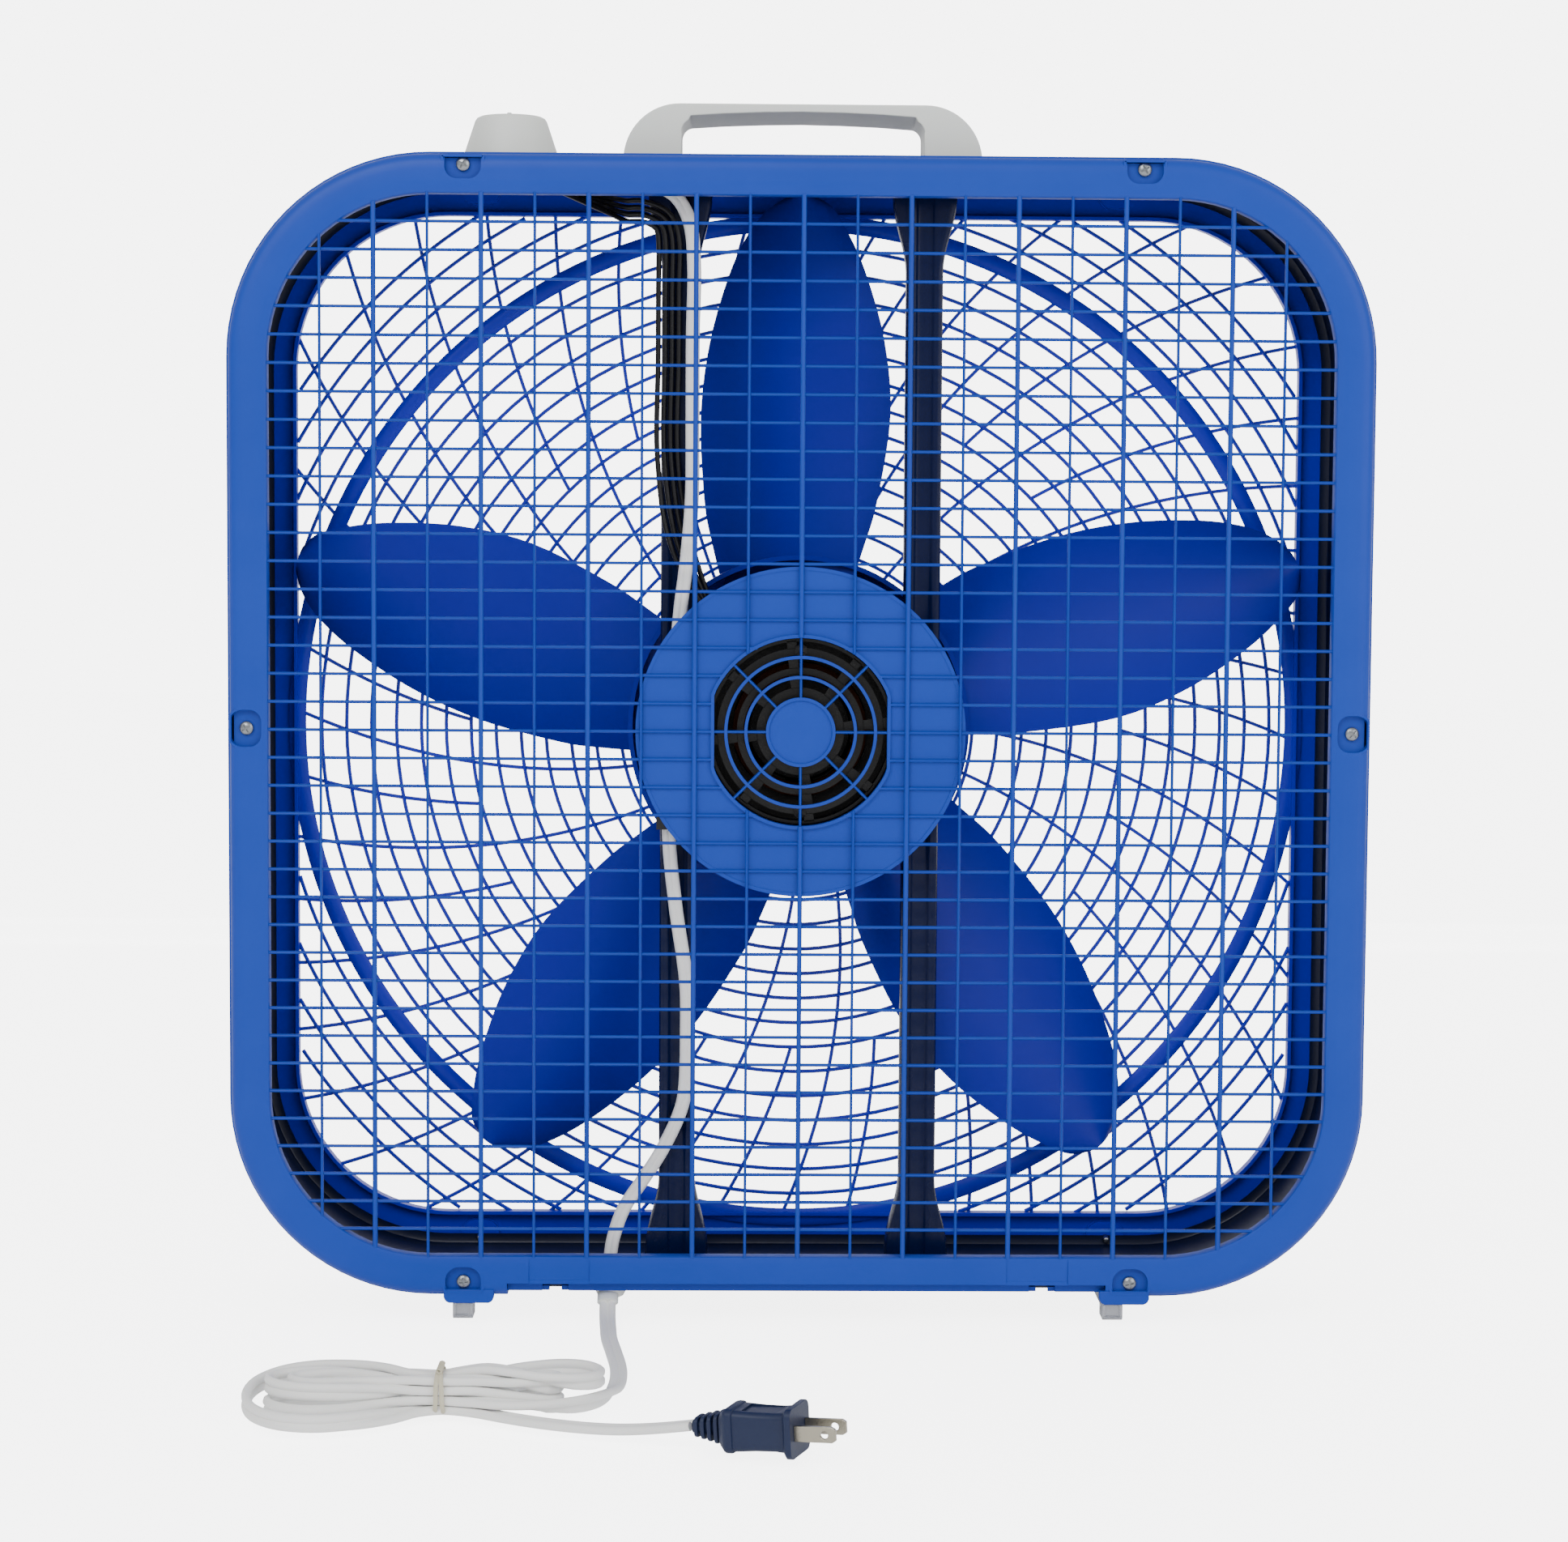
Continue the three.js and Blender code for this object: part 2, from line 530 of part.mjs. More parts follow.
function rearBell() {
  const ears = [-1, 1].flatMap((side) => [-EAR_Z, EAR_Z].map((z) => {
    const [near, far] = [30, 62].map((x) => side * x).sort((a, b) => a - b);
    return box([near, far], [STRUT_REAR + GAP, STRUT_REAR + 2.8], [z - 6, z + 6]);
  }));
  const earHoles = [-1, 1].flatMap((side) =>
    [-EAR_Z, EAR_Z].map((z) => rodY(SCREW_HOLE_RADIUS, 20, 40, side * STRUT_X, z, 8)));
  const slots = [[17, 22.5], [26, 33]].flatMap(([inner, outer]) => [...Array(4)].map((_, i) => {
    const from = (i * 90 + 8) * Math.PI / 180;
    return slabY(ringSector(inner, outer, from, from + Math.PI * 0.41), 40, 46, 1);
  }));
  return cut(join(bell(24, 44, 1), ears), earHoles, slots, boltHoles());
}

const frontBell = () => cut(bell(-5.7, 12, SHAFT_RADIUS + GAP + 0.5).rotate([180, 0, 0]), boltHoles());

// The laminated core: a back iron with six teeth, and the coils that fill the slots between them.
const toothSpan = 0.26;           // half of a tooth's angle
function statorCore() {
  const ring = tubeY(31.5, STATOR_RADIUS, 6, 23.7, 36);
  const teeth = [...Array(6)].map((_, i) => {
    const middle = i * Math.PI / 3;
    return slabY(ringSector(24, 32, middle - toothSpan, middle + toothSpan), 6, 23.7, 2);
  });
  return cut(join(ring, teeth), boltHoles());
}

function statorWinding() {
  const gapAngle = 0.03;
  const bars = [...Array(6)].map((_, i) => {
    const middle = (i + 0.5) * Math.PI / 3;
    const half = Math.PI / 6 - toothSpan - gapAngle;
    return slabY(ringSector(24.8, 31, middle - half, middle + half), 4, 26, 1);
  });
  return join(bars, tubeY(24.8, 31, 24.1, 28, 24), tubeY(24.8, 31, 1.5, 5.6, 24));
}

// ---- Control switch -----------------------------------------------------------------------------

const bandTop = CENTRE_Z + BAND_HALF;
const bandInnerTop = bandTop - SHEET - GAP;

const SWITCH_HEIGHT = 11;

// The switch, its shaft, its nut and the knob, with the shaft as the local Z axis.
function switchBody() {
  const base = box([-17, 17], [-13, 13], [bandInnerTop - SWITCH_HEIGHT, bandInnerTop]);
  const neck = rodZ(5, bandInnerTop - 1, bandTop + 5, 0, 0, 16);
  return cut(join(base, neck), rodZ(3.3, bandInnerTop - 7, bandTop + 6, 0, 0, 12));
}
const switchShaft = () => rodZ(3, bandInnerTop - 6.5, bandTop + 17, 0, 0, 12);
function switchNut() {
  const hexagon = rodZ(8, bandTop + GAP, bandTop + 2.8, 0, 0, 6);
  return cut(hexagon, rodZ(5.3, bandTop, bandTop + 4, 0, 0, 16));
}

function controlKnob() {
  const low = bandTop + 1.3;
  const body = turnedZ([
    [0, low + 17.5], [3.3, low + 17.5], [3.3, low + 8], [11, low + 8], [11, low], [KNOB_RADIUS, low],
    [KNOB_RADIUS, low + 3], [21.2, low + 7.3], [16.9, low + 20.5], [14.5, low + 22.6], [8, low + 23.6],
    [0, low + 23.8],
  ], 26);
  const pointer = box([-1.2, 1.2], [8, 16], [low + 15, low + 24]);
  return join(body, pointer);
}

// ---- Cord, leads and plug -----------------------------------------------------------------------

// A tube along a smooth curve through the points, with an elliptical section.
function tube(points, width, thickness, steps, sides = 8) {
  const section = new THREE.Shape();
  section.absellipse(0, 0, width / 2, thickness / 2, 0, 2 * Math.PI);
  const path = new THREE.CatmullRomCurve3(points.map((point) => new THREE.Vector3(...point)));
  return solid(new THREE.ExtrudeGeometry(section, {
    steps, curveSegments: sides / 2, bevelEnabled: false, extrudePath: path,
  }));
}

// The cord that the body holds, from the bushing up the strut to the switch.
const innerCordPoints = [
  [87, 38, 18], [86, 36, 28], [80, 33, 48], [62, 31, 76], [52, 31, 105], [52, 31, 155], [57, 31.5, 190],
  [60, 36, 225], [58, 40, 262], [57, 41, 300], [55, 41.8, 325], [52, 41, 350], [50, 36, 378], [50, 31, 410],
  [50, 31, 450], [49.5, 31, 480], [51.5, 31, 501], [59, 31.3, 514], [72, 31, 518.5], [86, 27, 519],
  [100, 19, 519], [116.3, 8, 519],
];

// One lead from the switch, along the top, down the strut to the motor. The bends round the corner nest.
const LEAD_PITCH = 3.1;
const leadCorner = { x: 73.5, z: 494 };
function leadPoints(index) {
  const x = 56.5 + LEAD_PITCH * index;
  const start = 122 + LEAD_PITCH * index;
  const radius = leadCorner.x - x;
  const top = leadCorner.z + radius;
  const bend = radius * Math.SQRT1_2;
  return [
    [start, -6, bandInnerTop - SWITCH_HEIGHT - 0.2], [start - 0.8, -6, top + 1], [start - 4, -5.6, top],
    [104, 4, top], [95, 14, top], [87, 24.5, top], [79, 30.2, top], [leadCorner.x, 31, top],
    [leadCorner.x - bend, 31, leadCorner.z + bend], [x, 31, leadCorner.z], [x, 30.2, 470], [x, 30.2, 440],
    [x, 30.2, 392], [x - 8, 32 + 1.5 * index, 350], [33 - 0.6 * index, 32.5 + 3 * index, 308],
  ];
}

// A clip on the strut, closed round the cord behind the grille's disc.
const CLIP_WALL = 1.3;
const CLIP_FROM = [53.6, STRUT_REAR + GAP, 225];
const CLIP_TO = [65.6, 42.2, 232];
function cordClip() {
  const span = (axis, inset) => [CLIP_FROM[axis] + inset, CLIP_TO[axis] - inset];
  const outer = box(span(0, 0), span(1, 0), span(2, 0));
  return cut(outer, box(span(0, CLIP_WALL), span(1, CLIP_WALL), span(2, -1)));
}

// The stretch from the bushing to the hank, and the stretch from the hank to the plug.
const runPoints = [
  CORD_EXIT, [86.9, 53, 3.6], [86.2, 60, 2.3], [84.6, 68, 2.1], [83, 78, 2.1], [81, 98, 2.1],
  [79.2, 120, 2.1], [77.8, 142, 2.1], [77.1, 164, 2.1], [76.9, 186, 2.1], [77.3, 202, 2.1], [78.6, 216, 2.1],
];
const tailPoints = [
  [132, 232.2, 2.2], [122, 233.4, 2.2], [111, 236.2, 2.2], [99, 240, 2.2], [87, 243.4, 2.3], [77, 245.8, 2.6],
  [68, 248.2, 3.3], [59.6, 251.4, 4.5], [52, 255, 5.9], [44.6, 258.6, 7.2],
];

// The folded hank, its outer shape only: a lobe at each end, and a waist between them for the tie.
const TIE_X = 149;
const TIE_FROM = 202;
const TIE_TO = 221;
function hankLobe({ from, to, corner }) {
  const half = [(to[0] - from[0]) / 2, (to[1] - from[1]) / 2];
  const outline = roundedRectangle(half[0], half[1], corner, from[0] + half[0], from[1] + half[1]);
  return slabZ(outline, 0, HANK_HEIGHT, 6);
}

function cordHank() {
  const neck = [LEFT_LOBE.from[0] + 4, RIGHT_LOBE.to[0] - 4];
  const waist = box([neck[1], neck[0]], [TIE_FROM + 1.5, TIE_TO - 1.5], [1.4, HANK_HEIGHT - 1.4]);
  return join(hankLobe(LEFT_LOBE), hankLobe(RIGHT_LOBE), waist);
}

function cordTie() {
  const outer = box([TIE_X - 2.2, TIE_X + 2.2], [TIE_FROM, TIE_TO], [0, HANK_HEIGHT]);
  return cut(outer, box([TIE_X - 5, TIE_X + 5], [TIE_FROM + 1.2, TIE_TO - 1.2], [1.1, HANK_HEIGHT - 1.1]));
}

// The bushing in the band's underside: a round neck, a flange and a flat snout for the cord.
function cordBushing() {
  const [x, y] = bushingPlace;
  const under = CENTRE_Z - BAND_HALF;
  const neck = rodZ(5.2, under - 1, under + 4, x, y, 12);
  const flange = rodZ(7.5, under - 2.6, under - GAP, x, y, 16);
  const snout = tube([[x, y - 2, under - 1.5], [x, y + 4, under - 3.5], [x, y + 9.3, 6.65]], 11, 6, 3, 8);
  return join(neck, flange, snout);
}

// The plug lies on the edge of its flange, with its blades towards -X and its cord end drooping.
const plugPlace = [5, 274.4, 10.5];
const PLUG_TURN = THREE.MathUtils.degToRad(-21);
const PLUG_TILT = THREE.MathUtils.degToRad(3.5);
function plugBody() {
  const relief = [...Array(4)].map((_, i) =>
    slabX(roundedRectangle(6.2 - 0.5 * i, 5 - 0.4 * i, 3), 30 + 3.4 * i, 32.2 + 3.4 * i, 1));
  const core = slabX(roundedRectangle(4, 3.2, 2), 27, 42, 1);
  const shoulder = slabX(roundedRectangle(10.5, 8.6, 2.5), 24, 30, 1);
  const grip = slabX(roundedRectangle(9.4, 7.6, 2.5), 3, 25, 1);
  const flange = slabX(roundedRectangle(13, 10, 4), 0, 3.6, 2);
  return join(relief, core, shoulder, grip, flange);
}

function plugBlade() {
  const shape = polygon([[0, -3.1], [-15.5, -3.1], [-17.5, -1.6], [-17.5, 1.6], [-15.5, 3.1], [0, 3.1]]);
  return cut(slabY(shape, -0.75, 0.75), rodY(1.4, -2, 2, -12.5, 0, 8));
}

// ---- Assembly -----------------------------------------------------------------------------------

const fan = new THREE.Group();

function add(group, name, body, material, place) {
  const mesh = piece(name, body, material);
  if (place) mesh.position.set(...place);
  group.add(mesh);
  return mesh;
}

// Pieces placed from the fan's axis: grilles, band, struts, motor and propeller.
const axisGroup = new THREE.Group();
axisGroup.position.z = CENTRE_Z;
fan.add(axisGroup);
add(axisGroup, "housing_band", housingBand(), bandNavy);
add(axisGroup, "rear_grille", rearGrille(), grilleBlue);
add(axisGroup, "front_grille", frontGrille(), frontBlue);
add(axisGroup, "strut_left", strut(), bandNavy, [STRUT_X, 0, 0]);
add(axisGroup, "strut_right", strut(), bandNavy, [-STRUT_X, 0, 0]);
add(axisGroup, "motor_rear_bell", rearBell(), blackPaint);
add(axisGroup, "motor_front_bell", frontBell(), blackPaint);
add(axisGroup, "stator_core", statorCore(), steel);
add(axisGroup, "stator_winding", statorWinding(), copper);
add(axisGroup, "rear_bearing", tubeY(SHAFT_RADIUS + GAP, 8, 33.8, 41.7, 20), bronze);
add(axisGroup, "front_bearing", tubeY(SHAFT_RADIUS + GAP, 8, -9.7, -1.8, 20), bronze);
add(axisGroup, "rotor_core", tubeY(SHAFT_RADIUS + GAP, 23, 7, 23, 30), steel);
add(axisGroup, "motor_shaft", rodY(SHAFT_RADIUS, -35, 41.4, 0, 0, 16), steel);
add(axisGroup, "fan_propeller", propeller(), bladeBlue);
const clipRing = slabY(ringSector(9.8, 11.6, 0.3, 2 * Math.PI - 0.3), -27, -24, 8);
add(axisGroup, "propeller_clip", clipRing, zinc);

// Screws that hold the grilles, with their heads outwards.
const screwSeat = BODY_HALF_DEPTH - 3.5 + GAP;
[...cornerScrews, ...sideScrews].forEach(([x, z], i) => {
  add(axisGroup, `rear_screw_${i + 1}`, panScrew(10), zinc, [x, screwSeat, z]);
});
cornerScrews.forEach(([x, z], i) => {
  const screw = add(axisGroup, `front_screw_${i + 1}`, panScrew(10), zinc, [-x, -screwSeat, z]);
  screw.rotation.z = Math.PI;
});

// Long bolts through the motor, and the screws that hold it to the struts.
boltHeights.forEach((z, i) => {
  add(axisGroup, `motor_bolt_${i + 1}`, panScrew(56), zinc, [0, 44 + GAP, z]);
});
const earFace = STRUT_REAR + 2.8 + GAP;
[-1, 1].forEach((side, column) => [-EAR_Z, EAR_Z].forEach((z, row) => {
  const name = `motor_screw_${2 * column + row + 1}`;
  add(axisGroup, name, panScrew(11), zinc, [side * STRUT_X, earFace, z]);
}));

// Screws through the band into the struts and into the handle.
[-1, 1].forEach((side, column) => [-1, 1].forEach((end, row) => {
  const name = `strut_screw_${2 * column + row + 1}`;
  const screw = add(axisGroup, name, panScrew(8), zinc, [side * STRUT_X, STRUT_SCREW_Y, end * (BAND_HALF + GAP)]);
  screw.rotation.x = end * Math.PI / 2;
}));
[-1, 1].forEach((side, i) => {
  const place = [side * HANDLE_SCREW_X, 0, bandInnerTop];
  const screw = add(fan, `handle_screw_${i + 1}`, panScrew(11), zinc, place);
  screw.rotation.x = -Math.PI / 2;
});

add(fan, "foot_left", foot(), clearPlastic, [153.3, 0, 0]);
add(fan, "foot_right", foot(), clearPlastic, [-145.4, 0, 0]);
add(fan, "carry_handle", carryHandle(), lightPlastic);

const controls = new THREE.Group();
controls.position.x = KNOB_X;
fan.add(controls);
add(controls, "switch_body", switchBody(), blackPlastic);
add(controls, "switch_shaft", switchShaft(), steel);
add(controls, "switch_nut", switchNut(), zinc);
add(controls, "control_knob", controlKnob(), lightPlastic);

add(fan, "cord_bushing", cordBushing(), lightPlastic);
add(fan, "inner_cord", tube(innerCordPoints, 6.4, 4, 30), whiteVinyl);
for (let i = 0; i < 4; i++) {
  add(fan, `motor_lead_${i + 1}`, tube(leadPoints(i), 2.2, 2.2, 22, 6), blackVinyl);
}
add(fan, "cord_clip", cordClip(), blackPlastic);
add(fan, "cord_run", tube(runPoints, CORD_WIDTH, CORD_THICKNESS, 18), whiteVinyl);
add(fan, "cord_hank", cordHank(), whiteVinyl);
add(fan, "cord_tail", tube(tailPoints, CORD_THICKNESS, CORD_WIDTH, 12), whiteVinyl);
add(fan, "cord_tie", cordTie(), tiePaper);

const plug = new THREE.Group();
plug.position.set(...plugPlace);
plug.rotation.set(0, PLUG_TILT, PLUG_TURN, "ZYX");
fan.add(plug);
add(plug, "plug_body", plugBody(), plugNavy);
[-1, 1].forEach((side, i) => {
  add(plug, `plug_blade_${i + 1}`, plugBlade(), steel, [-GAP, side * 6.35, 0]);
});

export default fan;
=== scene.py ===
import math
import random

import bpy
from mathutils import Matrix, Vector


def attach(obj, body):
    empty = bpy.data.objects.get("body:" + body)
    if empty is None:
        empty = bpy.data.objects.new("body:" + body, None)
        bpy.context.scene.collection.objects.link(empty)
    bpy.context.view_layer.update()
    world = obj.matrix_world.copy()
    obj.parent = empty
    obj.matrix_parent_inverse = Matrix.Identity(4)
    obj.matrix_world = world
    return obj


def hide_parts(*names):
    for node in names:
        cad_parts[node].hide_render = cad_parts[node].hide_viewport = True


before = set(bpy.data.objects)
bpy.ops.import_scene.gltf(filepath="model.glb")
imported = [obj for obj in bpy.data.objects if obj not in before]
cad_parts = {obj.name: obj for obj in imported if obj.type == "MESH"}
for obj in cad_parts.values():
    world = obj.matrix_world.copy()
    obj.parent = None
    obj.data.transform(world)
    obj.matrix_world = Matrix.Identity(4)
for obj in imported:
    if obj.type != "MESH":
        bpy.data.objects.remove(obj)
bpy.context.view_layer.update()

# Lengths in this script are in millimetres; meshes are scaled to metres as they are made.
MM = 0.001
UP = Vector((0, 0, 1))
ALONG_Y = Vector((0, 1, 0))

# Camera and floor
CAMERA_PLACE = (30.0, 1520.1, 355.3)
CAMERA_AIM = (7.5, 54.0, 253.0)
CAMERA_ROLL = 0.37
CAMERA_LENS = 74.4

# Body, as in the CAD
CENTRE_Z = 270.5
BODY_HALF = 260
BODY_HALF_DEPTH = 54
CORNER_RADIUS = 92
RIM_WIDTH = 19
OPENING_HALF = BODY_HALF - RIM_WIDTH
OPENING_RADIUS = CORNER_RADIUS - RIM_WIDTH
BAR_PITCH = 12.7
POST_PITCH = 24.15
BAR_COUNT = 37
POST_COUNT = 19
VENT_RADIUS = 43
VENT_HALF_WIDTH = 39.5
DISC_RADIUS = 75
BAND_HALF = 257.2
BAND_RADIUS = 89.2
CORNER_SCREW_X = 153
TOP_SCREW_Z = 254
BOTTOM_SCREW_Z = -253.2
SIDE_SCREW_X = 251
STRUT_X = 56
KNOB_X = 135

# Cord
CORD_WIDTH = 7.5
CORD_THICKNESS = 3.8
CORD_EXIT = (87, 47.6, 6.4)
CORD_SIDES = 28
GROOVE_FLOOR = 0.36
TIE_X = 149
TIE_MIDDLE = (211.3, 8.95)


# ---- Meshes -------------------------------------------------------------------------------------

def mesh_object(name, vertices, faces, smooth=35):
    """A mesh from points in millimetres, smooth where faces meet at less than the given angle."""
    mesh = bpy.data.meshes.new(name)
    mesh.from_pydata([Vector(v) * MM for v in vertices], [], faces)
    mesh.validate()
    thing = bpy.data.objects.new(name, mesh)
    bpy.context.scene.collection.objects.link(thing)
    refresh(thing, smooth)
    return thing


def ring_faces(rings, size, closed=False):
    """Faces that join each ring of points to the next one, and the last to the first if closed."""
    faces = []
    for i in range(rings if closed else rings - 1):
        here, after = i * size, (i + 1) % rings * size
        for k in range(size):
            other = (k + 1) % size
            faces.append((here + k, here + other, after + other, after + k))
    return faces


def end_faces(rings, size):
    """The faces that close the first ring and the last."""
    return [tuple(range(size)), tuple(range((rings - 1) * size, rings * size))]


def lofted(name, rings, smooth):
    """A closed body through rings with the same number of points."""
    count, size = len(rings), len(rings[0])
    vertices = [point for ring in rings for point in ring]
    return mesh_object(name, vertices, end_faces(count, size) + ring_faces(count, size), smooth)


def refresh(thing, smooth=35):
    """Turns the faces outwards and sets which edges look smooth."""
    bpy.context.view_layer.objects.active = thing
    thing.select_set(True)
    bpy.ops.object.mode_set(mode="EDIT")
    bpy.ops.mesh.select_all(action="SELECT")
    bpy.ops.mesh.normals_make_consistent(inside=False)
    bpy.ops.object.mode_set(mode="OBJECT")
    if smooth:
        bpy.ops.object.shade_smooth_by_angle(angle=math.radians(smooth))
    thing.select_set(False)


def applied(thing, kind, smooth=35, **settings):
    """Adds a modifier to the mesh and makes it permanent."""
    modifier = thing.modifiers.new("step", kind)
    for key, value in settings.items():
        setattr(modifier, key, value)
    bpy.context.view_layer.objects.active = thing
    bpy.ops.object.modifier_apply(modifier=modifier.name)
    refresh(thing, smooth)
    return thing


def bevelled(thing, width, segments=2):
    return applied(thing, "BEVEL", 40, width=width * MM, segments=segments,
                   limit_method="ANGLE", angle_limit=math.radians(35))


def cut_with(thing, tool):
    applied(thing, "BOOLEAN", operation="DIFFERENCE", object=tool, solver="EXACT")
    bpy.data.objects.remove(tool)
    return thing


def joined(name, things):
    """Several meshes as one object, each with the material it already has."""
    bpy.ops.object.select_all(action="DESELECT")
    for thing in things:
        thing.select_set(True)
    bpy.context.view_layer.objects.active = things[0]
    if len(things) > 1:
        bpy.ops.object.join()
    whole = bpy.context.view_layer.objects.active
    whole.name = name
    whole.data.name = name
    whole.select_set(False)
    return whole


def box(name, low, high):
    across, deep, tall = zip(low, high)
    corners = [(x, y, z) for x in across for y in deep for z in tall]
    faces = [(0, 1, 3, 2), (4, 6, 7, 5), (0, 4, 5, 1), (2, 3, 7, 6), (0, 2, 6, 4), (1, 5, 7, 3)]
    return mesh_object(name, corners, faces, smooth=0)


def sweep(name, path, sides, section, closed=False, smooth=40):
    """A section carried along a path. A section point is (sideways, along the path's own side)."""
    vertices = []
    count = len(path)
    for i, point in enumerate(path):
        ahead = path[(i + 1) % count] if closed else path[min(i + 1, count - 1)]
        behind = path[i - 1] if closed else path[max(i - 1, 0)]
        tangent = (Vector(ahead) - Vector(behind)).normalized()
        second = Vector(sides[i]) if isinstance(sides, list) else Vector(sides)
        second = (second - tangent * second.dot(tangent)).normalized()
        first = tangent.cross(second)
        vertices += [Vector(point) + first * a + second * b for a, b in section]
    faces = ring_faces(count, len(section), closed)
    if not closed:
        faces += end_faces(count, len(section))
    return mesh_object(name, vertices, faces, smooth)


def turned(name, profile, steps=64, axis="Y", place=(0, 0, 0)):
    """A profile of (radius, height) points turned round the Y or the Z axis; radius 0 closes it."""
    vertices = []
    faces = []
    size = len(profile)
    for i in range(steps):
        turn = 2 * math.pi * i / steps
        for radius, height in profile:
            a, b = radius * math.cos(turn), radius * math.sin(turn)
            local = (a, height, b) if axis == "Y" else (a, b, height)
            vertices.append(Vector(local) + Vector(place))
        here, after = i * size, (i + 1) % steps * size
        faces += [(here + k, here + k + 1, after + k + 1, after + k) for k in range(size - 1)]
        if profile[0][0] > 0:
            faces.append((here + size - 1, here, after, after + size - 1))
    thing = mesh_object(name, vertices, faces, smooth=0)
    bpy.context.view_layer.objects.active = thing
    bpy.ops.object.mode_set(mode="EDIT")
    bpy.ops.mesh.select_all(action="SELECT")
    bpy.ops.mesh.remove_doubles(threshold=1e-6)
    bpy.ops.object.mode_set(mode="OBJECT")
    refresh(thing)
    return thing


def slab(name, outline, y0, y1, smooth=30):
    """A flat outline of (x, z) points made thick along Y."""
    return lofted(name, [[(x, y, z) for x, z in outline] for y in (y0, y1)], smooth)


def ring_sector(name, inner, outer, y0, y1, start=0.0, end=2 * math.pi, steps=48):
    """Part of a flat ring round the fan's axis. The radii may be numbers or functions of the angle."""
    whole = end - start > 2 * math.pi - 1e-6
    count = max(3, int(steps * (end - start) / (2 * math.pi))) + (0 if whole else 1)
    path = []
    for i in range(count):
        turn = start + (end - start) * i / (count if whole else count - 1)
        radii = [r(turn) if callable(r) else r for r in (inner, outer)]
        path.append((turn, *radii))
    vertices = []
    for turn, low, high in path:
        for radius, y in ((low, y0), (high, y0), (high, y1), (low, y1)):
            vertices.append((radius * math.cos(turn), y, CENTRE_Z + radius * math.sin(turn)))
    faces = ring_faces(count, 4, whole)
    if not whole:
        faces += end_faces(count, 4)
    return mesh_object(name, vertices, faces, smooth=30)


def rounded_rectangle(half_x, half_z, radius, centre=(0, 0), steps=8):
    """The outline's points, with this many steps in each corner."""
    points = []
    for corner in range(4):
        sign_x = 1 if corner in (0, 3) else -1
        sign_z = 1 if corner < 2 else -1
        for i in range(steps + 1):
            turn = (corner + i / steps) * math.pi / 2
            points.append((centre[0] + sign_x * (half_x - radius) + radius * math.cos(turn),
                           centre[1] + sign_z * (half_z - radius) + radius * math.sin(turn)))
    return points


def framed(name, half, radius, profile, facing=1):
    """A closed profile of (inwards, depth) points carried round a rounded square about the fan's axis."""
    straight = half - radius
    outline = rounded_rectangle(half, half, radius, steps=20)
    vertices = []
    for x, z in outline:
        corner = Vector((max(-straight, min(straight, x)), 0, max(-straight, min(straight, z))))
        outward = (Vector((x, 0, z)) - corner).normalized()
        for inwards, depth in profile:
            vertices.append(Vector((x, facing * depth, CENTRE_Z + z)) - outward * inwards)
    return mesh_object(name, vertices, ring_faces(len(outline), len(profile), closed=True), 30)


def round_section(half_a, half_b, sides=8):
    """An ellipse's points, for sweep."""
    turns = [2 * math.pi * (i + 0.5) / sides for i in range(sides)]
    return [(half_a * math.cos(t), half_b * math.sin(t)) for t in turns]


def smooth_path(points, per_span):
    """A Catmull-Rom curve through points of any dimension."""
    count = len(points)
    made = []
    for i in range(count - 1):
        p0, p1, p2, p3 = (points[max(i - 1, 0)], points[i], points[i + 1], points[min(i + 2, count - 1)])
        for k in range(per_span):
            t = k / per_span
            made.append(tuple(
                0.5 * (2 * b + (c - a) * t + (2 * a - 5 * b + 4 * c - d) * t ** 2
                       + (3 * b - a - 3 * c + d) * t ** 3)
                for a, b, c, d in zip(p0, p1, p2, p3)))
    made.append(tuple(points[-1]))
    return made


def even_path(points, spacing):
    """The same curve with its points a fixed distance apart, measured on the first three values."""
    fine = smooth_path(points, 24)
    kept = [fine[0]]
    walked = 0.0
    for before, after in zip(fine, fine[1:]):
        step = (Vector(after[:3]) - Vector(before[:3])).length
        walked += step
        if walked >= spacing:
            kept.append(after)
            walked = 0.0
    kept.append(fine[-1])
    return kept


# ---- Materials ----------------------------------------------------------------------------------

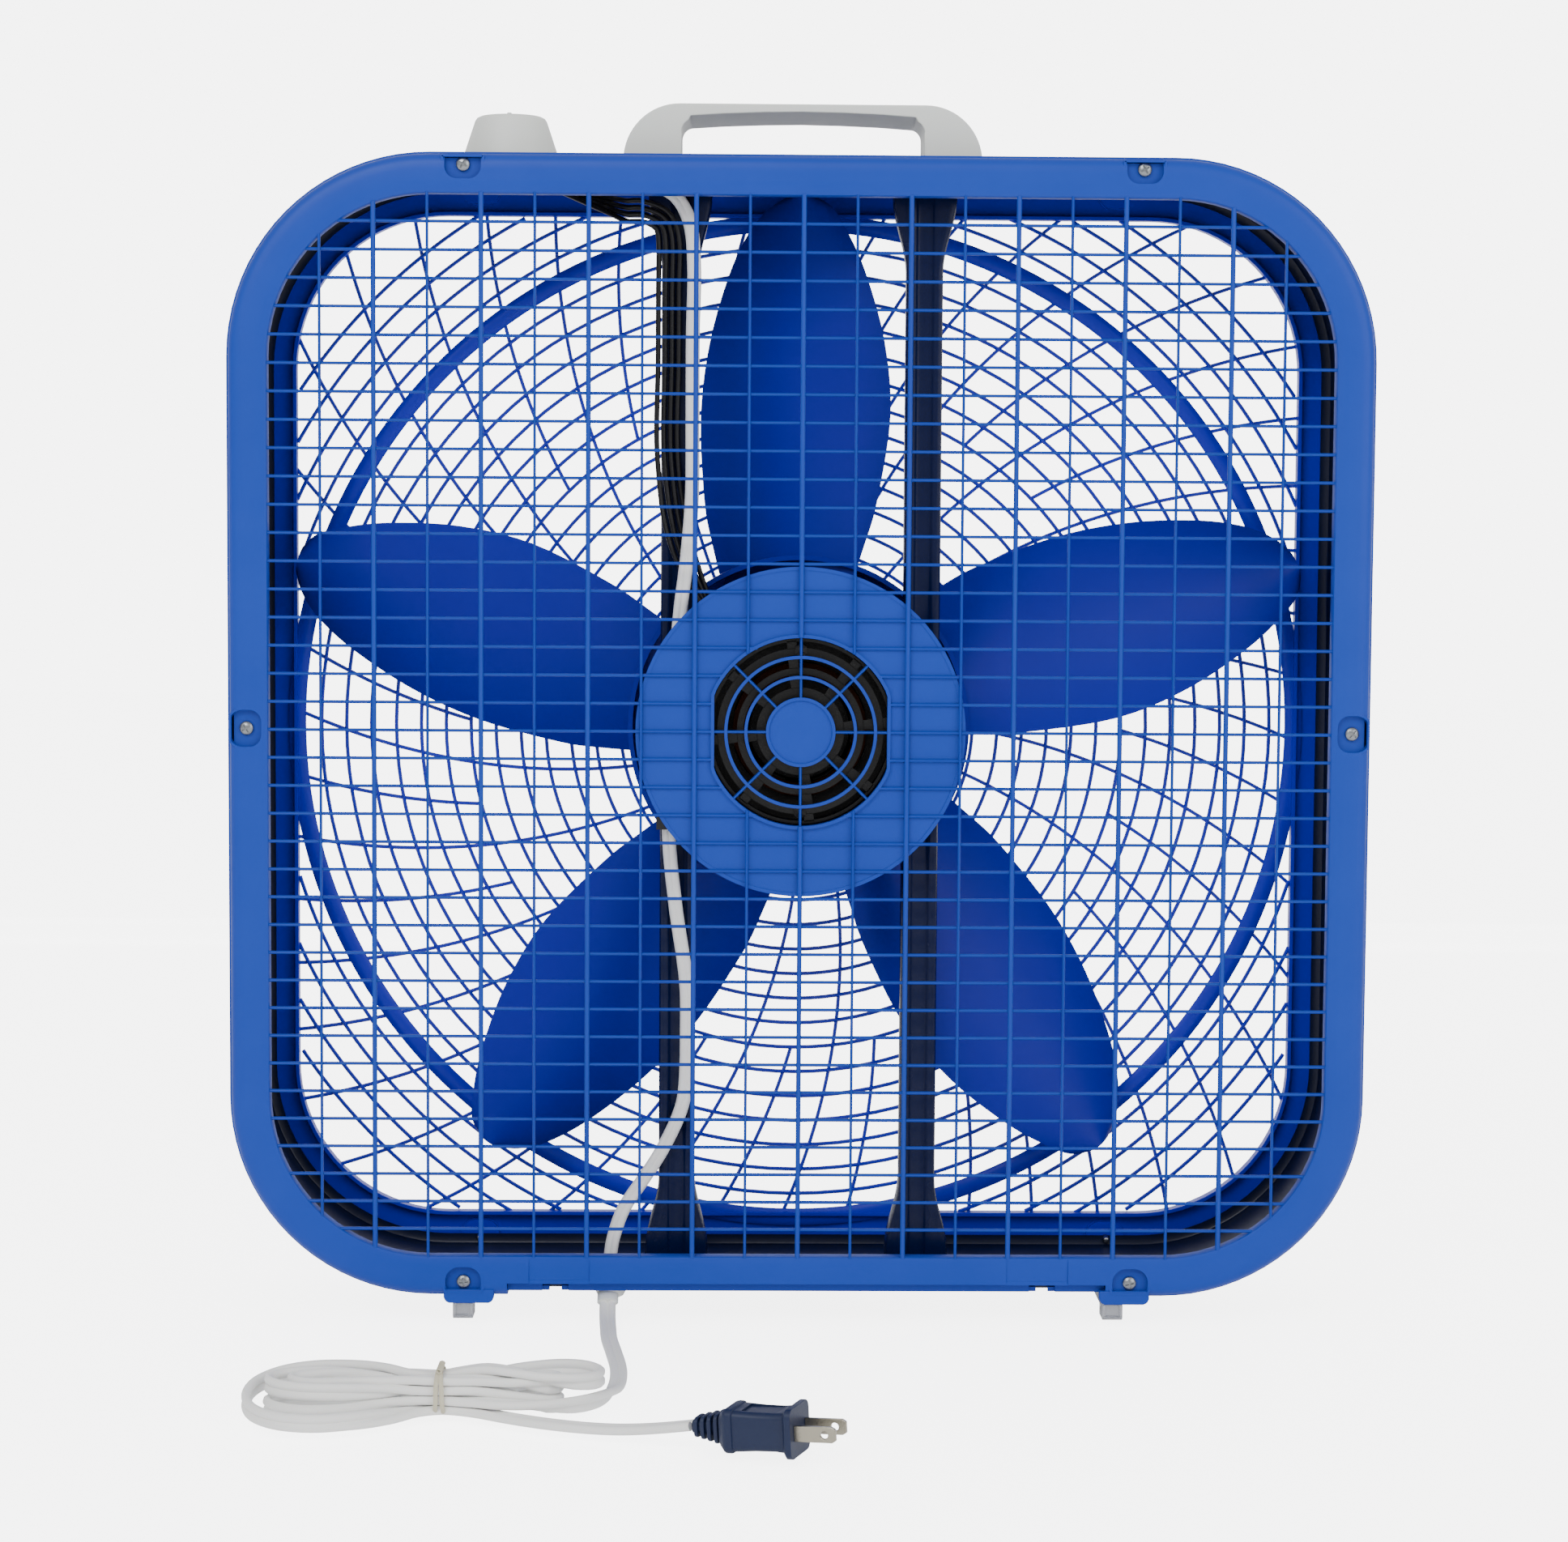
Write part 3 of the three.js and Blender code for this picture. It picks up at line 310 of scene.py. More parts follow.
def material(name, colour, roughness, metallic=0.0, grain=0.15, grain_size=1.2, mottle=0.06,
             transmission=0.0, ior=1.5, shine=0.5, subsurface=0.0, streaks=None):
    """A finish with faint colour variation, uneven gloss and a fine surface grain."""
    made = bpy.data.materials.new(name)
    made.use_nodes = True
    nodes, links = made.node_tree.nodes, made.node_tree.links
    shader = nodes["Principled BSDF"]
    place = nodes.new("ShaderNodeTexCoord")
    spread = nodes.new("ShaderNodeMapping")
    spread.inputs["Scale"].default_value = streaks or (1, 1, 1)
    links.new(place.outputs["Object"], spread.inputs["Vector"])

    def noise(scale, detail):
        made_noise = nodes.new("ShaderNodeTexNoise")
        made_noise.inputs["Scale"].default_value = scale
        made_noise.inputs["Detail"].default_value = detail
        links.new(spread.outputs["Vector"], made_noise.inputs["Vector"])
        return made_noise

    cloud = noise(28, 3)
    tint = nodes.new("ShaderNodeMix")
    tint.data_type = "RGBA"
    deep = [c * (1 - mottle) for c in colour]
    pale = [min(1, c * (1 + mottle) + 0.004) for c in colour]
    tint.inputs["A"].default_value = (*deep, 1)
    tint.inputs["B"].default_value = (*pale, 1)
    links.new(cloud.outputs["Fac"], tint.inputs["Factor"])
    links.new(tint.outputs["Result"], shader.inputs["Base Color"])

    gloss = nodes.new("ShaderNodeMapRange")
    gloss.inputs["To Min"].default_value = max(0.03, roughness - 0.05)
    gloss.inputs["To Max"].default_value = min(1, roughness + 0.07)
    links.new(noise(90, 2).outputs["Fac"], gloss.inputs["Value"])
    links.new(gloss.outputs["Result"], shader.inputs["Roughness"])

    bump = nodes.new("ShaderNodeBump")
    bump.inputs["Strength"].default_value = grain
    bump.inputs["Distance"].default_value = 0.0002
    links.new(noise(1500 / grain_size, 2).outputs["Fac"], bump.inputs["Height"])
    links.new(bump.outputs["Normal"], shader.inputs["Normal"])

    values = {"Metallic": metallic, "Transmission Weight": transmission, "IOR": ior,
              "Specular IOR Level": shine, "Subsurface Weight": subsurface,
              "Subsurface Radius": (0.4, 0.6, 1.0), "Subsurface Scale": 0.002}
    for socket, value in values.items():
        shader.inputs[socket].default_value = value
    return made


def srgb(code):
    """A colour written as six hex digits, in linear light."""
    channels = [int(code[i:i + 2], 16) / 255 for i in (0, 2, 4)]
    return [c / 12.92 if c <= 0.04045 else ((c + 0.055) / 1.055) ** 2.4 for c in channels]


rear_blue = material("rear_blue", srgb("143ca2"), 0.42, grain=0.12, shine=0.22)
front_blue = material("front_blue", srgb("121ec0"), 0.34, grain=0.1, shine=0.25)
band_paint = material("band_paint", srgb("051030"), 0.3, grain=0.2, grain_size=3, shine=0.25)
strut_paint = material("strut_paint", srgb("030f38"), 0.24, grain=0.2, grain_size=3, shine=0.18)
blade_blue = material("blade_blue", srgb("121a98"), 0.36, grain=0.02, mottle=0.02, shine=0.14)
pale_plastic = material("pale_plastic", srgb("e2e5e0"), 0.42, grain=0.12, mottle=0.02, subsurface=0.1)
clear_plastic = material("clear_plastic", srgb("e9ebf0"), 0.14, grain=0.1, transmission=0.8, ior=1.49)
cord_vinyl = material("cord_vinyl", srgb("f4f4f2"), 0.5, grain=0.2, mottle=0.025, subsurface=0.1)
plug_vinyl = material("plug_vinyl", srgb("0a1b3e"), 0.42, grain=0.25, shine=0.4, mottle=0.08)
lead_vinyl = material("lead_vinyl", srgb("0b0b0e"), 0.35, grain=0.15, shine=0.3)
black_paint = material("black_paint", srgb("040405"), 0.32, grain=0.35, grain_size=2.5, shine=0.3)
zinc_plate = material("zinc_plate", srgb("8e9296"), 0.3, metallic=1, grain=0.15, mottle=0.1)
bare_steel = material("bare_steel", srgb("9ba0a6"), 0.36, metallic=1, grain=0.4, streaks=(1, 1, 12))
blade_metal = material("blade_metal", srgb("b3ad9c"), 0.2, metallic=1, grain=0.3, streaks=(1, 8, 8))
copper_wire = material("copper_wire", srgb("2c150c"), 0.5, metallic=1, grain=0.8, grain_size=4)
bronze = material("bronze", srgb("9a7442"), 0.5, metallic=1, grain=0.6, grain_size=0.8)
varnished_steel = material("varnished_steel", srgb("0a0808"), 0.5, metallic=0.4, grain=0.4)
black_plastic = material("black_plastic", srgb("17181b"), 0.5, grain=0.3)
tie_paper = material("tie_paper", srgb("c9c3ac"), 0.8, grain=0.8, grain_size=2, mottle=0.15)
slot_finish = {
    "grille_blue": rear_blue, "front_grille_blue": front_blue, "band_navy": band_paint,
    "strut_navy": strut_paint, "propeller_blue": blade_blue, "light_plastic": pale_plastic,
    "clear_plastic": clear_plastic, "white_vinyl": cord_vinyl, "navy_vinyl": plug_vinyl,
    "black_vinyl": lead_vinyl, "black_paint": black_paint, "zinc": zinc_plate,
    "bare_steel": bare_steel, "nickel": blade_metal, "copper_wire": copper_wire,
    "bronze": bronze, "black_plastic": black_plastic, "tie_paper": tie_paper,
}


def finished(thing, finish, slot, body, *nodes):
    """Gives a piece its material and its body, and hides the CAD nodes it stands for."""
    thing.data.materials.clear()
    thing.data.materials.append(finish)
    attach(thing, body)
    if nodes:
        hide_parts(*nodes)
    return thing


# ---- Camera -------------------------------------------------------------------------------------

camera_data = bpy.data.cameras.new("camera")
camera_data.lens = CAMERA_LENS
camera_data.sensor_width = 36
camera_data.clip_start = 0.05
camera_data.clip_end = 30
camera = bpy.data.objects.new("camera", camera_data)
bpy.context.scene.collection.objects.link(camera)
camera.location = Vector(CAMERA_PLACE) * MM
gaze = (Vector(CAMERA_AIM) - Vector(CAMERA_PLACE)).to_track_quat("-Z", "Y")
camera.rotation_mode = "QUATERNION"
camera.rotation_quaternion = gaze @ Matrix.Rotation(math.radians(CAMERA_ROLL), 3, "Z").to_quaternion()
bpy.context.scene.camera = camera

# ---- Power cord ---------------------------------------------------------------------------------

# Each point is x, y, z and how far the flat cord stands on its edge, from 0 to 1.
cord_points = [
    (*CORD_EXIT, 0), (86.9, 53, 4.4, 0), (86.6, 60, 2.9, 0), (86.2, 68, 2.2, 0), (85.6, 78, 2.1, 0),
    (84.4, 97, 2.1, 0), (81.4, 122, 2.1, 0), (78.6, 147, 2.1, 0), (77.8, 166, 2.2, 0), (78.4, 182, 2.6, 0.1),
    (80.4, 197, 3.6, 0.5), (85.2, 209.4, 4.4, 0.8), (93, 218.6, 5, 0.8), (103.6, 223.6, 5.8, 0.4),
    (114, 225, 6.4, 0.1), (124, 223.6, 6.5, 0), (135, 219.4, 6.3, 0), (149, 215.3, 6.1, 0),
    # first fold at the left, low
    (160, 216.6, 5.8, 0.2), (170, 221, 5, 0.6), (186, 229, 4.3, 0.9), (203, 231, 4.1, 1), (215, 225, 4.1, 1),
    (219, 215, 4.1, 1), (211, 206, 4.1, 1), (192, 202, 4, 0.8), (172, 203.6, 2.9, 0.3), (162, 206, 2.2, 0),
    (149, 207.3, 2.1, 0),
    # first fold at the right, low and tight
    (134, 206.4, 2.3, 0), (120, 203.6, 3.5, 0.6), (108, 203.8, 4.1, 1), (101.4, 207.6, 4.2, 1),
    (100.4, 213.2, 4.3, 1), (106, 217.6, 5, 0.8), (119, 217.7, 8.5, 0.1), (134, 216.4, 10.3, 0),
    (149, 215.3, 10.1, 0),
    # second fold at the left, high
    (160, 216.5, 10.3, 0.1), (172, 221, 11, 0.6), (188, 227, 12, 1), (204, 226.5, 12.2, 1),
    (215, 220.6, 12.2, 1), (219, 212.6, 12.2, 1), (214.6, 204.6, 12.2, 1), (202, 200.4, 12.2, 1),
    (187, 201.4, 11.7, 0.8),
    (172, 204.6, 9.2, 0.3), (161, 206.8, 6.8, 0), (149, 207.3, 6.1, 0),
    # second fold at the right, above the first
    (134, 206.4, 7, 0), (120, 203.6, 9.6, 0.4), (108, 203.8, 11.8, 0.9), (101.4, 207.6, 12.2, 1),
    (100.4, 213.2, 12.2, 1), (106, 217.2, 12.6, 0.8), (119, 216.9, 13.7, 0.1), (134, 216, 14.3, 0),
    (149, 215.3, 14.1, 0),
    # third fold at the left, inside the second
    (160, 215.8, 14.4, 0.1), (174, 219.4, 14, 0.5), (188, 221, 13, 0.9), (200, 220.4, 12.5, 1),
    (208.6, 216.2, 12.4, 1), (209, 209.8, 12.4, 1), (201, 206, 12.5, 1), (188, 206, 12.9, 0.8),
    (174, 206.8, 12, 0.3), (162, 207.4, 10.6, 0), (149, 207.3, 10.1, 0),
    # widest fold at the right, on top
    (134, 203.2, 10.9, 0.2), (119, 196.6, 12.6, 0.8), (103, 193, 13.6, 1), (91, 195.4, 13.8, 1),
    (84, 203.6, 13.6, 1), (85.4, 213.4, 13.8, 1), (94.4, 219.4, 14.8, 0.7), (106, 220, 16.4, 0.3),
    (118, 216.6, 17.8, 0.1), (130, 211.6, 18, 0), (140, 208.4, 16, 0), (149, 207.3, 14.1, 0),
    # widest fold at the left, from the top down to the floor
    (160, 205.6, 14.3, 0.1), (172, 200.6, 14.5, 0.5), (187, 196, 13.9, 0.9), (203, 194, 13, 1),
    (216, 197.4, 11.6, 1), (225, 206.6, 9.6, 1), (227.4, 219, 7.2, 1), (223, 232, 5.2, 1),
    (212, 241.6, 4.3, 1), (197, 245, 4.1, 1), (182, 240, 3.9, 0.9), (168.4, 229, 2.8, 0.4),
    (159, 220, 2.2, 0), (149, 215.3, 2.1, 0),
    # out to the plug
    (140, 217, 2.1, 0), (131, 221.4, 2.1, 0), (122, 227.4, 2.1, 0), (111, 233.8, 2.1, 0), (99, 239.4, 2.1, 0),
    (87, 243.4, 2.1, 0), (76, 246.4, 2.4, 0), (66, 249.4, 3.4, 0), (56, 253.6, 5.2, 0), (45.2, 258.6, 7.6, 0),
]
cord_line = even_path(cord_points, 3.0)


def cord_sides(line):
    """The thin direction of the flat cord at each point: up where it lies flat, level where it stands."""
    sides = []
    for i, point in enumerate(line):
        ahead, behind = line[min(i + 1, len(line) - 1)], line[max(i - 1, 0)]
        tangent = (Vector(ahead[:3]) - Vector(behind[:3])).normalized()
        level = tangent.cross(UP).normalized()
        flat = level.cross(tangent)
        turn = point[3] * math.pi / 2
        sides.append(flat * math.cos(turn) + level * math.sin(turn))
    return sides


def cord_section(width, thickness):
    """Two round cores side by side with a groove between them."""
    radius = thickness / 2
    reach = width / 2 - radius
    section = []
    for i in range(CORD_SIDES):
        turn = 2 * math.pi * i / CORD_SIDES
        a = width / 2 * math.cos(turn)
        core = max(radius ** 2 - (abs(a) - reach) ** 2, 0) ** 0.5
        height = max(core, GROOVE_FLOOR * radius) if abs(a) < reach else core
        on_edge = abs(math.sin(turn)) < 1e-6
        section.append((a, 0.0 if on_edge else math.copysign(height, math.sin(turn))))
    return section


power_cord = sweep("power_cord", [p[:3] for p in cord_line], cord_sides(cord_line),
                   cord_section(CORD_WIDTH, CORD_THICKNESS), smooth=60)
finished(power_cord, cord_vinyl, "white_vinyl", "frame", "cord_run", "cord_hank", "cord_tail")


# The twist tie: two turns round the waist of the hank and a knot on top.
def tie_loop(offset, lean):
    """One turn round the waist of the hank, leaning out of its plane."""
    loop = rounded_rectangle(9.6, 8.7, 6, centre=TIE_MIDDLE, steps=10)
    turns = [2 * math.pi * i / len(loop) for i in range(len(loop))]
    return [(TIE_X + offset + lean * math.sin(turn), y, z) for turn, (y, z) in zip(turns, loop)]


tie_parts = []
for offset, lean in ((-1.2, 0.7), (1.2, -0.5)):
    path = tie_loop(offset, lean)
    outward = [(0, y - TIE_MIDDLE[0], z - TIE_MIDDLE[1]) for _, y, z in path]
    tie_parts.append(sweep("tie_turn", path, outward, round_section(0.95, 0.45, 10), closed=True))
knot = []
for i in range(60):
    turn = i * 0.75
    knot.append((TIE_X + 0.9 * math.cos(turn), 203 + 0.26 * i, 18.2 + 0.7 * math.sin(turn)))
tie_parts.append(sweep("tie_knot", knot, UP, round_section(0.62, 0.4, 8)))
cord_tie = finished(joined("twist_tie", tie_parts), tie_paper, "tie_paper", "frame", "cord_tie")

# Plug, built with its flange at the origin, its cord end towards +X and its blades towards -X.
PLUG_PLACE = (3, 275.2, 10.6)
PLUG_TURN = math.radians(-21)
PLUG_TILT = math.radians(3.5)
PRONG_APART = 6.35
to_plug = Matrix.Translation(Vector(PLUG_PLACE) * MM)
to_plug = to_plug @ Matrix.Rotation(PLUG_TURN, 4, "Z") @ Matrix.Rotation(PLUG_TILT, 4, "Y")


def plug_loft(name, stations):
    """Rounded rectangles joined along X. Each station is x, half width, half height, corner radius."""
    rings = []
    for x, half_width, half_height, corner in stations:
        rings.append([(x, a, b) for a, b in rounded_rectangle(half_width, half_height, corner, steps=5)])
    return lofted(name, rings, 35)


flange = plug_loft("flange", [(0, 11.2, 9.9, 3.4), (2.4, 11.2, 9.9, 3.4), (3.8, 9.6, 8.4, 3)])
grip = plug_loft("grip", [(3, 9, 8, 2.6), (8, 8.6, 7.6, 2.6), (16, 8.7, 7.7, 2.6), (26, 9.2, 8.2, 2.6)])
shoulder = plug_loft("shoulder", [(25, 9.9, 8.8, 3), (28.5, 9.9, 8.8, 3), (31.6, 7.2, 6.2, 3)])
core = plug_loft("core", [(30, 4.3, 3.3, 2.6), (44, 3.9, 2.6, 2.2)])
plug_parts = [bevelled(flange, 0.6), bevelled(grip, 0.5), bevelled(shoulder, 0.8), core]
for i in range(4):
    shape = (6.7 - 0.5 * i, 5.8 - 0.6 * i, 2.4)
    rib = plug_loft("rib", [(x + 3 * i, *shape) for x in (32.2, 33.9)])
    plug_parts.append(bevelled(rib, 0.4))
cut_with(grip, box("panel", (7, -5.8, 7.2), (22, 5.8, 9)))
plug_body = joined("plug_moulding", plug_parts)
plug_body.data.transform(to_plug)
finished(plug_body, plug_vinyl, "navy_vinyl", "frame", "plug_body")

for number, side in ((1, -PRONG_APART), (2, PRONG_APART)):
    outline = [(0, -3.15), (-15.6, -3.15), (-17.2, -2.2), (-17.2, 2.2), (-15.6, 3.15), (0, 3.15)]
    blade_piece = slab("plug_prong", outline, side - 0.75, side + 0.75)
    hole = turned("hole", [(0, -3), (1.6, -3), (1.6, 3), (0, 3)], 24, place=(-12.4, side, 0))
    cut_with(blade_piece, hole)
    bevelled(blade_piece, 0.2)
    blade_piece.data.transform(to_plug)
    blade_piece.name = f"plug_prong_{number}"
    finished(blade_piece, blade_metal, "nickel", "frame", f"plug_blade_{number}")

# ---- Grilles ------------------------------------------------------------------------------------

# The rim's section, as (inwards from the outline, depth), for a face that looks along +Y.
rim_profile = [
    (0.4, 36), (0, 36.4), (0, 47.2), (0.25, 47.6), (0.9, 47.9), (1.05, 48.6), (1.3, 50.4), (2.1, 52),
    (3.4, 53.1), (5.2, 53.8), (8, 54), (13, 54), (17.6, 53.7), (18.6, 53.3), (19, 52.6), (19, 46.6),
    (18.7, 46.3), (17.4, 46.3), (17.1, 46.6), (16.8, 51), (16.2, 51.5), (4, 51.5), (2.8, 50), (2.4, 47),
    (2.4, 36.4), (2, 36),
]


def rim(name, facing):
    """The moulded rim of a grille. facing is 1 for the rear and -1 for the front."""
    return framed(name, BODY_HALF, CORNER_RADIUS, rim_profile, facing)


def pocket_shape(x, z):
    """The outline of a screw recess: open to the top edge along the top, oval elsewhere."""
    if z == TOP_SCREW_Z:
        return rounded_rectangle(8.2, 12, 5.5, (x, CENTRE_Z + z + 5.4), 6)
    if z == BOTTOM_SCREW_Z:
        return rounded_rectangle(8.2, 7.2, 6.4, (x, CENTRE_Z + z), 6)
    return rounded_rectangle(7, 8.4, 5.5, (x, CENTRE_Z + z), 6)


corner_screws = [(side * CORNER_SCREW_X, z) for side in (-1, 1) for z in (TOP_SCREW_Z, BOTTOM_SCREW_Z)]
side_screws = [(-SIDE_SCREW_X, 0.5), (SIDE_SCREW_X, 0.5)]


def kept_inside(points, reach_x, reach_z):
    """The points, moved to lie no further than these reaches from the fan's axis."""
    low, high = CENTRE_Z - reach_z, CENTRE_Z + reach_z
    return [(max(-reach_x, min(reach_x, x)), max(low, min(high, z))) for x, z in points]


def screw_seats(name, frame_rim, screws, facing):
    """Cuts the recesses into a rim and returns the seats behind them."""
    seats = []
    floor = BODY_HALF_DEPTH - 3.5
    for x, z in screws:
        outline = pocket_shape(x * facing, z)
        depths = sorted((facing * floor, facing * (BODY_HALF_DEPTH + 1)))
        cut_with(frame_rim, slab("pocket", outline, *depths))
        depths = sorted((facing * (floor - 2), facing * floor))
        inner = kept_inside(outline, 257.4, 257.4)
        grown = [(px + (px - x * facing) * 0.12, pz + (pz - CENTRE_Z - z) * 0.06) for px, pz in inner]
        grown = kept_inside(grown, 258.4, 258.1)
        seats.append(slab(name + "_seat", grown, *depths))
        wall = [(px, facing * (floor + 1.6), pz) for px, pz in grown]
        section = [(-0.5, -1.7), (0.5, -1.7), (0.5, 1.6), (-0.5, 1.6)]
        seats.append(sweep(name + "_wall", wall, ALONG_Y, section, closed=True))
    return seats


def opening_reach(height):
    """Half the grille opening's width at a height above or below the axis."""
    straight = OPENING_HALF - OPENING_RADIUS
    above = max(abs(height) - straight, 0)
    return straight + math.sqrt(max(OPENING_RADIUS ** 2 - above ** 2, 0))


def vent_reach(height):
    """Half the vent's width at a height above the axis, or 0 outside it."""
    if abs(height) >= VENT_RADIUS:
        return 0
    return min(VENT_HALF_WIDTH, math.sqrt(VENT_RADIUS ** 2 - height ** 2))


def vent_rise(across):
    """The vent's reach above the axis at a distance across, or 0 outside it."""
    return 0 if abs(across) >= VENT_HALF_WIDTH else math.sqrt(VENT_RADIUS ** 2 - across ** 2)


def straight_bar(along, place, y, half_width, half_depth, gap, reach):
    """One grille bar, in two halves where the vent interrupts it."""
    spans = [(-reach, reach)] if gap == 0 else [(-reach, -gap), (gap, reach)]
    made = []
    for start, end in spans:
        stops = (start, (start + end) / 2, end)
        if along == "x":
            path = [(v, y, CENTRE_Z + place) for v in stops]
        else:
            path = [(place, y, CENTRE_Z + v) for v in stops]
        made.append(sweep("bar", path, ALONG_Y, round_section(half_width, half_depth, 10)))
    return made


def footed_tab(x, facing):
    """The rounded tab of a grille's rim that covers a foot's end."""
    top, bottom = 14, 7.6
    outline = [(x - 11.5, top), (x - 11.5, bottom + 2.6), (x - 10.7, bottom + 0.8), (x - 9, bottom),
               (x + 9, bottom), (x + 10.7, bottom + 0.8), (x + 11.5, bottom + 2.6), (x + 11.5, top)]
    depths = sorted((facing * (BODY_HALF_DEPTH - 5), facing * (BODY_HALF_DEPTH - 0.6)))
    return bevelled(slab("tab", outline, *depths), 0.6)


def rear_grille():
    frame_rim = rim("rear_rim", 1)
    cut_with(frame_rim, box("cut", (-141.8, 30, 5), (133, 60, 17)))
    for low, high in ((-124.5, -96), (95, 123)):
        cut_with(frame_rim, box("cut", (low, 53.4, 5), (high, 60, 29.6)))
    parts = [frame_rim]
    parts += screw_seats("rear", frame_rim, corner_screws + side_screws, 1)
    parts += [footed_tab(x, 1) for x in (150.5, -150.5)]
    # The strip under the rim that the cut-back shows, with its two notches.
    bottom, top, back, front = 12.6, 17.4, 46.0, 48.6
    half_notch = 2.75
    for low, high in ((-141.8, -119), (-107, 105), (117, 133)):
        parts.append(box("strip", (low, back, bottom), (high, front, top)))
    for low, high in ((-119, -107), (105, 117)):
        middle = (low + high) / 2
        parts.append(box("strip", (low, back, top - 1.2), (high, front, top)))
        for left, right in ((low, middle - half_notch), (middle + half_notch, high)):
            parts.append(box("strip", (left, back, bottom), (right, front - 1.2, bottom + 2)))
    low_shelf = [(x, 49.6, 17.6) for x in (-142, -70, 0, 70, 133.2)]
    parts.append(sweep("shelf", low_shelf, ALONG_Y, [(-0.9, -4), (0.9, -4), (0.9, 3.9), (-0.9, 3.9)]))
    for i in range(BAR_COUNT):
        z = (i - (BAR_COUNT - 1) / 2) * BAR_PITCH
        parts += straight_bar("x", z, 51.7, 0.74, 1.0, vent_reach(z), opening_reach(z) + 0.7)
    for i in range(POST_COUNT):
        place = i - (POST_COUNT - 1) / 2
        half = 1.15 if place % 2 == 0 else 0.68
        x = place * POST_PITCH
        parts += straight_bar("z", x, 52.7, half, 1.1, vent_rise(x), opening_reach(x) + 0.7)
    parts.append(ring_sector("disc", vent_outline, DISC_RADIUS, 48.6, 51, steps=96))
    parts.append(ring_sector("disc_edge", DISC_RADIUS - 1.6, DISC_RADIUS, 47, 51.4, steps=96))
    edges = [lambda turn: vent_outline(turn) - 0.2, lambda turn: vent_outline(turn) + 1.3]
    parts.append(ring_sector("vent_edge", *edges, 48.2, 52.6, steps=96))
    for radius in (34, 24.9):
        parts.append(ring_sector("vent_ring", radius - 0.7, radius + 0.7, 49.6, 52.4, steps=72))
    parts.append(ring_sector("vent_cap", 0.01, 15.8, 49.8, 51.6, steps=64))
    parts.append(ring_sector("vent_cap_edge", 14.4, 15.8, 49.4, 52.5, steps=64))
    for i in range(8):
        turn = i * math.pi / 4
        ends = [15.2, vent_outline(turn) + 0.4]
        path = [(r * math.cos(turn), 50.9, CENTRE_Z + r * math.sin(turn)) for r in ends]
        parts.append(sweep("vent_spoke", path, ALONG_Y, round_section(0.7, 1.4, 8)))
    return joined("rear_grille_moulding", parts)


def vent_outline(turn):
    """The vent's radius in a direction: a circle cut straight at both sides."""
    return min(VENT_RADIUS, VENT_HALF_WIDTH / max(abs(math.cos(turn)), 1e-6))


finished(rear_grille(), rear_blue, "grille_blue", "frame", "rear_grille")

# The front grille's ring pattern sits a little below the fan's axis.
RING_DROP = 2.4
FRONT_RINGS_Y = -50.6
THICK_RING = (237.3, 245.8)
SPOKE_COUNT = 48
RING_PITCH = 12.05
SPOKE_SWIRL = math.radians(0.0991)


def in_opening(x, z, margin):
    """Whether a point is inside the opening, or less than the margin outside it."""
    return abs(z) < OPENING_HALF + margin and abs(x) < opening_reach(min(abs(z), OPENING_HALF)) + margin


def clipped_runs(points, margin):
    """The stretches of a line that lie inside the opening."""
    runs = [[]]
    for x, z in points:
        if in_opening(x, z, margin):
            runs[-1].append((x, z))
        elif runs[-1]:
            runs.append([])
    return [run for run in runs if len(run) > 2]


def front_grille():
    y = FRONT_RINGS_Y
    wire = round_section(0.95, 1.3)
    frame_rim = rim("front_rim", -1)
    parts = [frame_rim]
    parts += screw_seats("front", frame_rim, [(-x, z) for x, z in corner_screws], -1)
    parts += [footed_tab(x, -1) for x in (150.5, -150.5)]

    def ring_points(radius, steps):
        turns = [2 * math.pi * i / steps for i in range(steps)]
        return [(-radius * math.sin(turn), radius * math.cos(turn) - RING_DROP) for turn in turns]

    for k in range(1, 18):
        path = [(x, y, CENTRE_Z + z) for x, z in ring_points(242 - RING_PITCH * k, 120)]
        parts.append(sweep("ring", path, ALONG_Y, wire, closed=True))
    # The rings outside the blades are cut off where they leave the opening.
    for k in range(1, 5):
        points = ring_points(240 + RING_PITCH * k, 480)
        shift = next(i for i, p in enumerate(points) if not in_opening(*p, 0.6))
        points = points[shift:] + points[:shift]
        for run in clipped_runs(points, 0.6):
            path = [(x, y, CENTRE_Z + z) for x, z in run]
            parts.append(sweep("outer_ring", path, ALONG_Y, wire))
    middle = sum(THICK_RING) / 2
    half = (THICK_RING[1] - THICK_RING[0]) / 2
    path = [(x, y + 0.4, CENTRE_Z + z) for x, z in ring_points(middle, 180)]
    parts.append(sweep("thick_ring", path, ALONG_Y, round_section(half, 1.7, 12), closed=True))
    # Every second spoke starts at the boss, and the others start further out.
    for i in range(SPOKE_COUNT):
        points = []
        for radius in range(36 if i % 2 else 158, 330, 2):
            turn = 2 * math.pi * i / SPOKE_COUNT + SPOKE_SWIRL * radius
            points.append((-radius * math.sin(turn), radius * math.cos(turn) - RING_DROP))
        for run in clipped_runs(points, 3)[:1]:
            path = [(x, y - 1.2, CENTRE_Z + z) for x, z in run]
            parts.append(sweep("spoke", path, ALONG_Y, wire))
    boss_profile = [(0, -53.6), (26, -53.4), (34, -52.4), (36.4, -50.4), (36.4, -48.4), (34.6, -48.4),
                    (34, -50), (0, -50.6)]
    parts.append(turned("boss", boss_profile, 72, place=(0, 0, CENTRE_Z - RING_DROP)))
    return joined("front_grille_moulding", parts)


finished(front_grille(), front_blue, "front_grille_blue", "frame", "front_grille")

# ---- Housing ------------------------------------------------------------------------------------


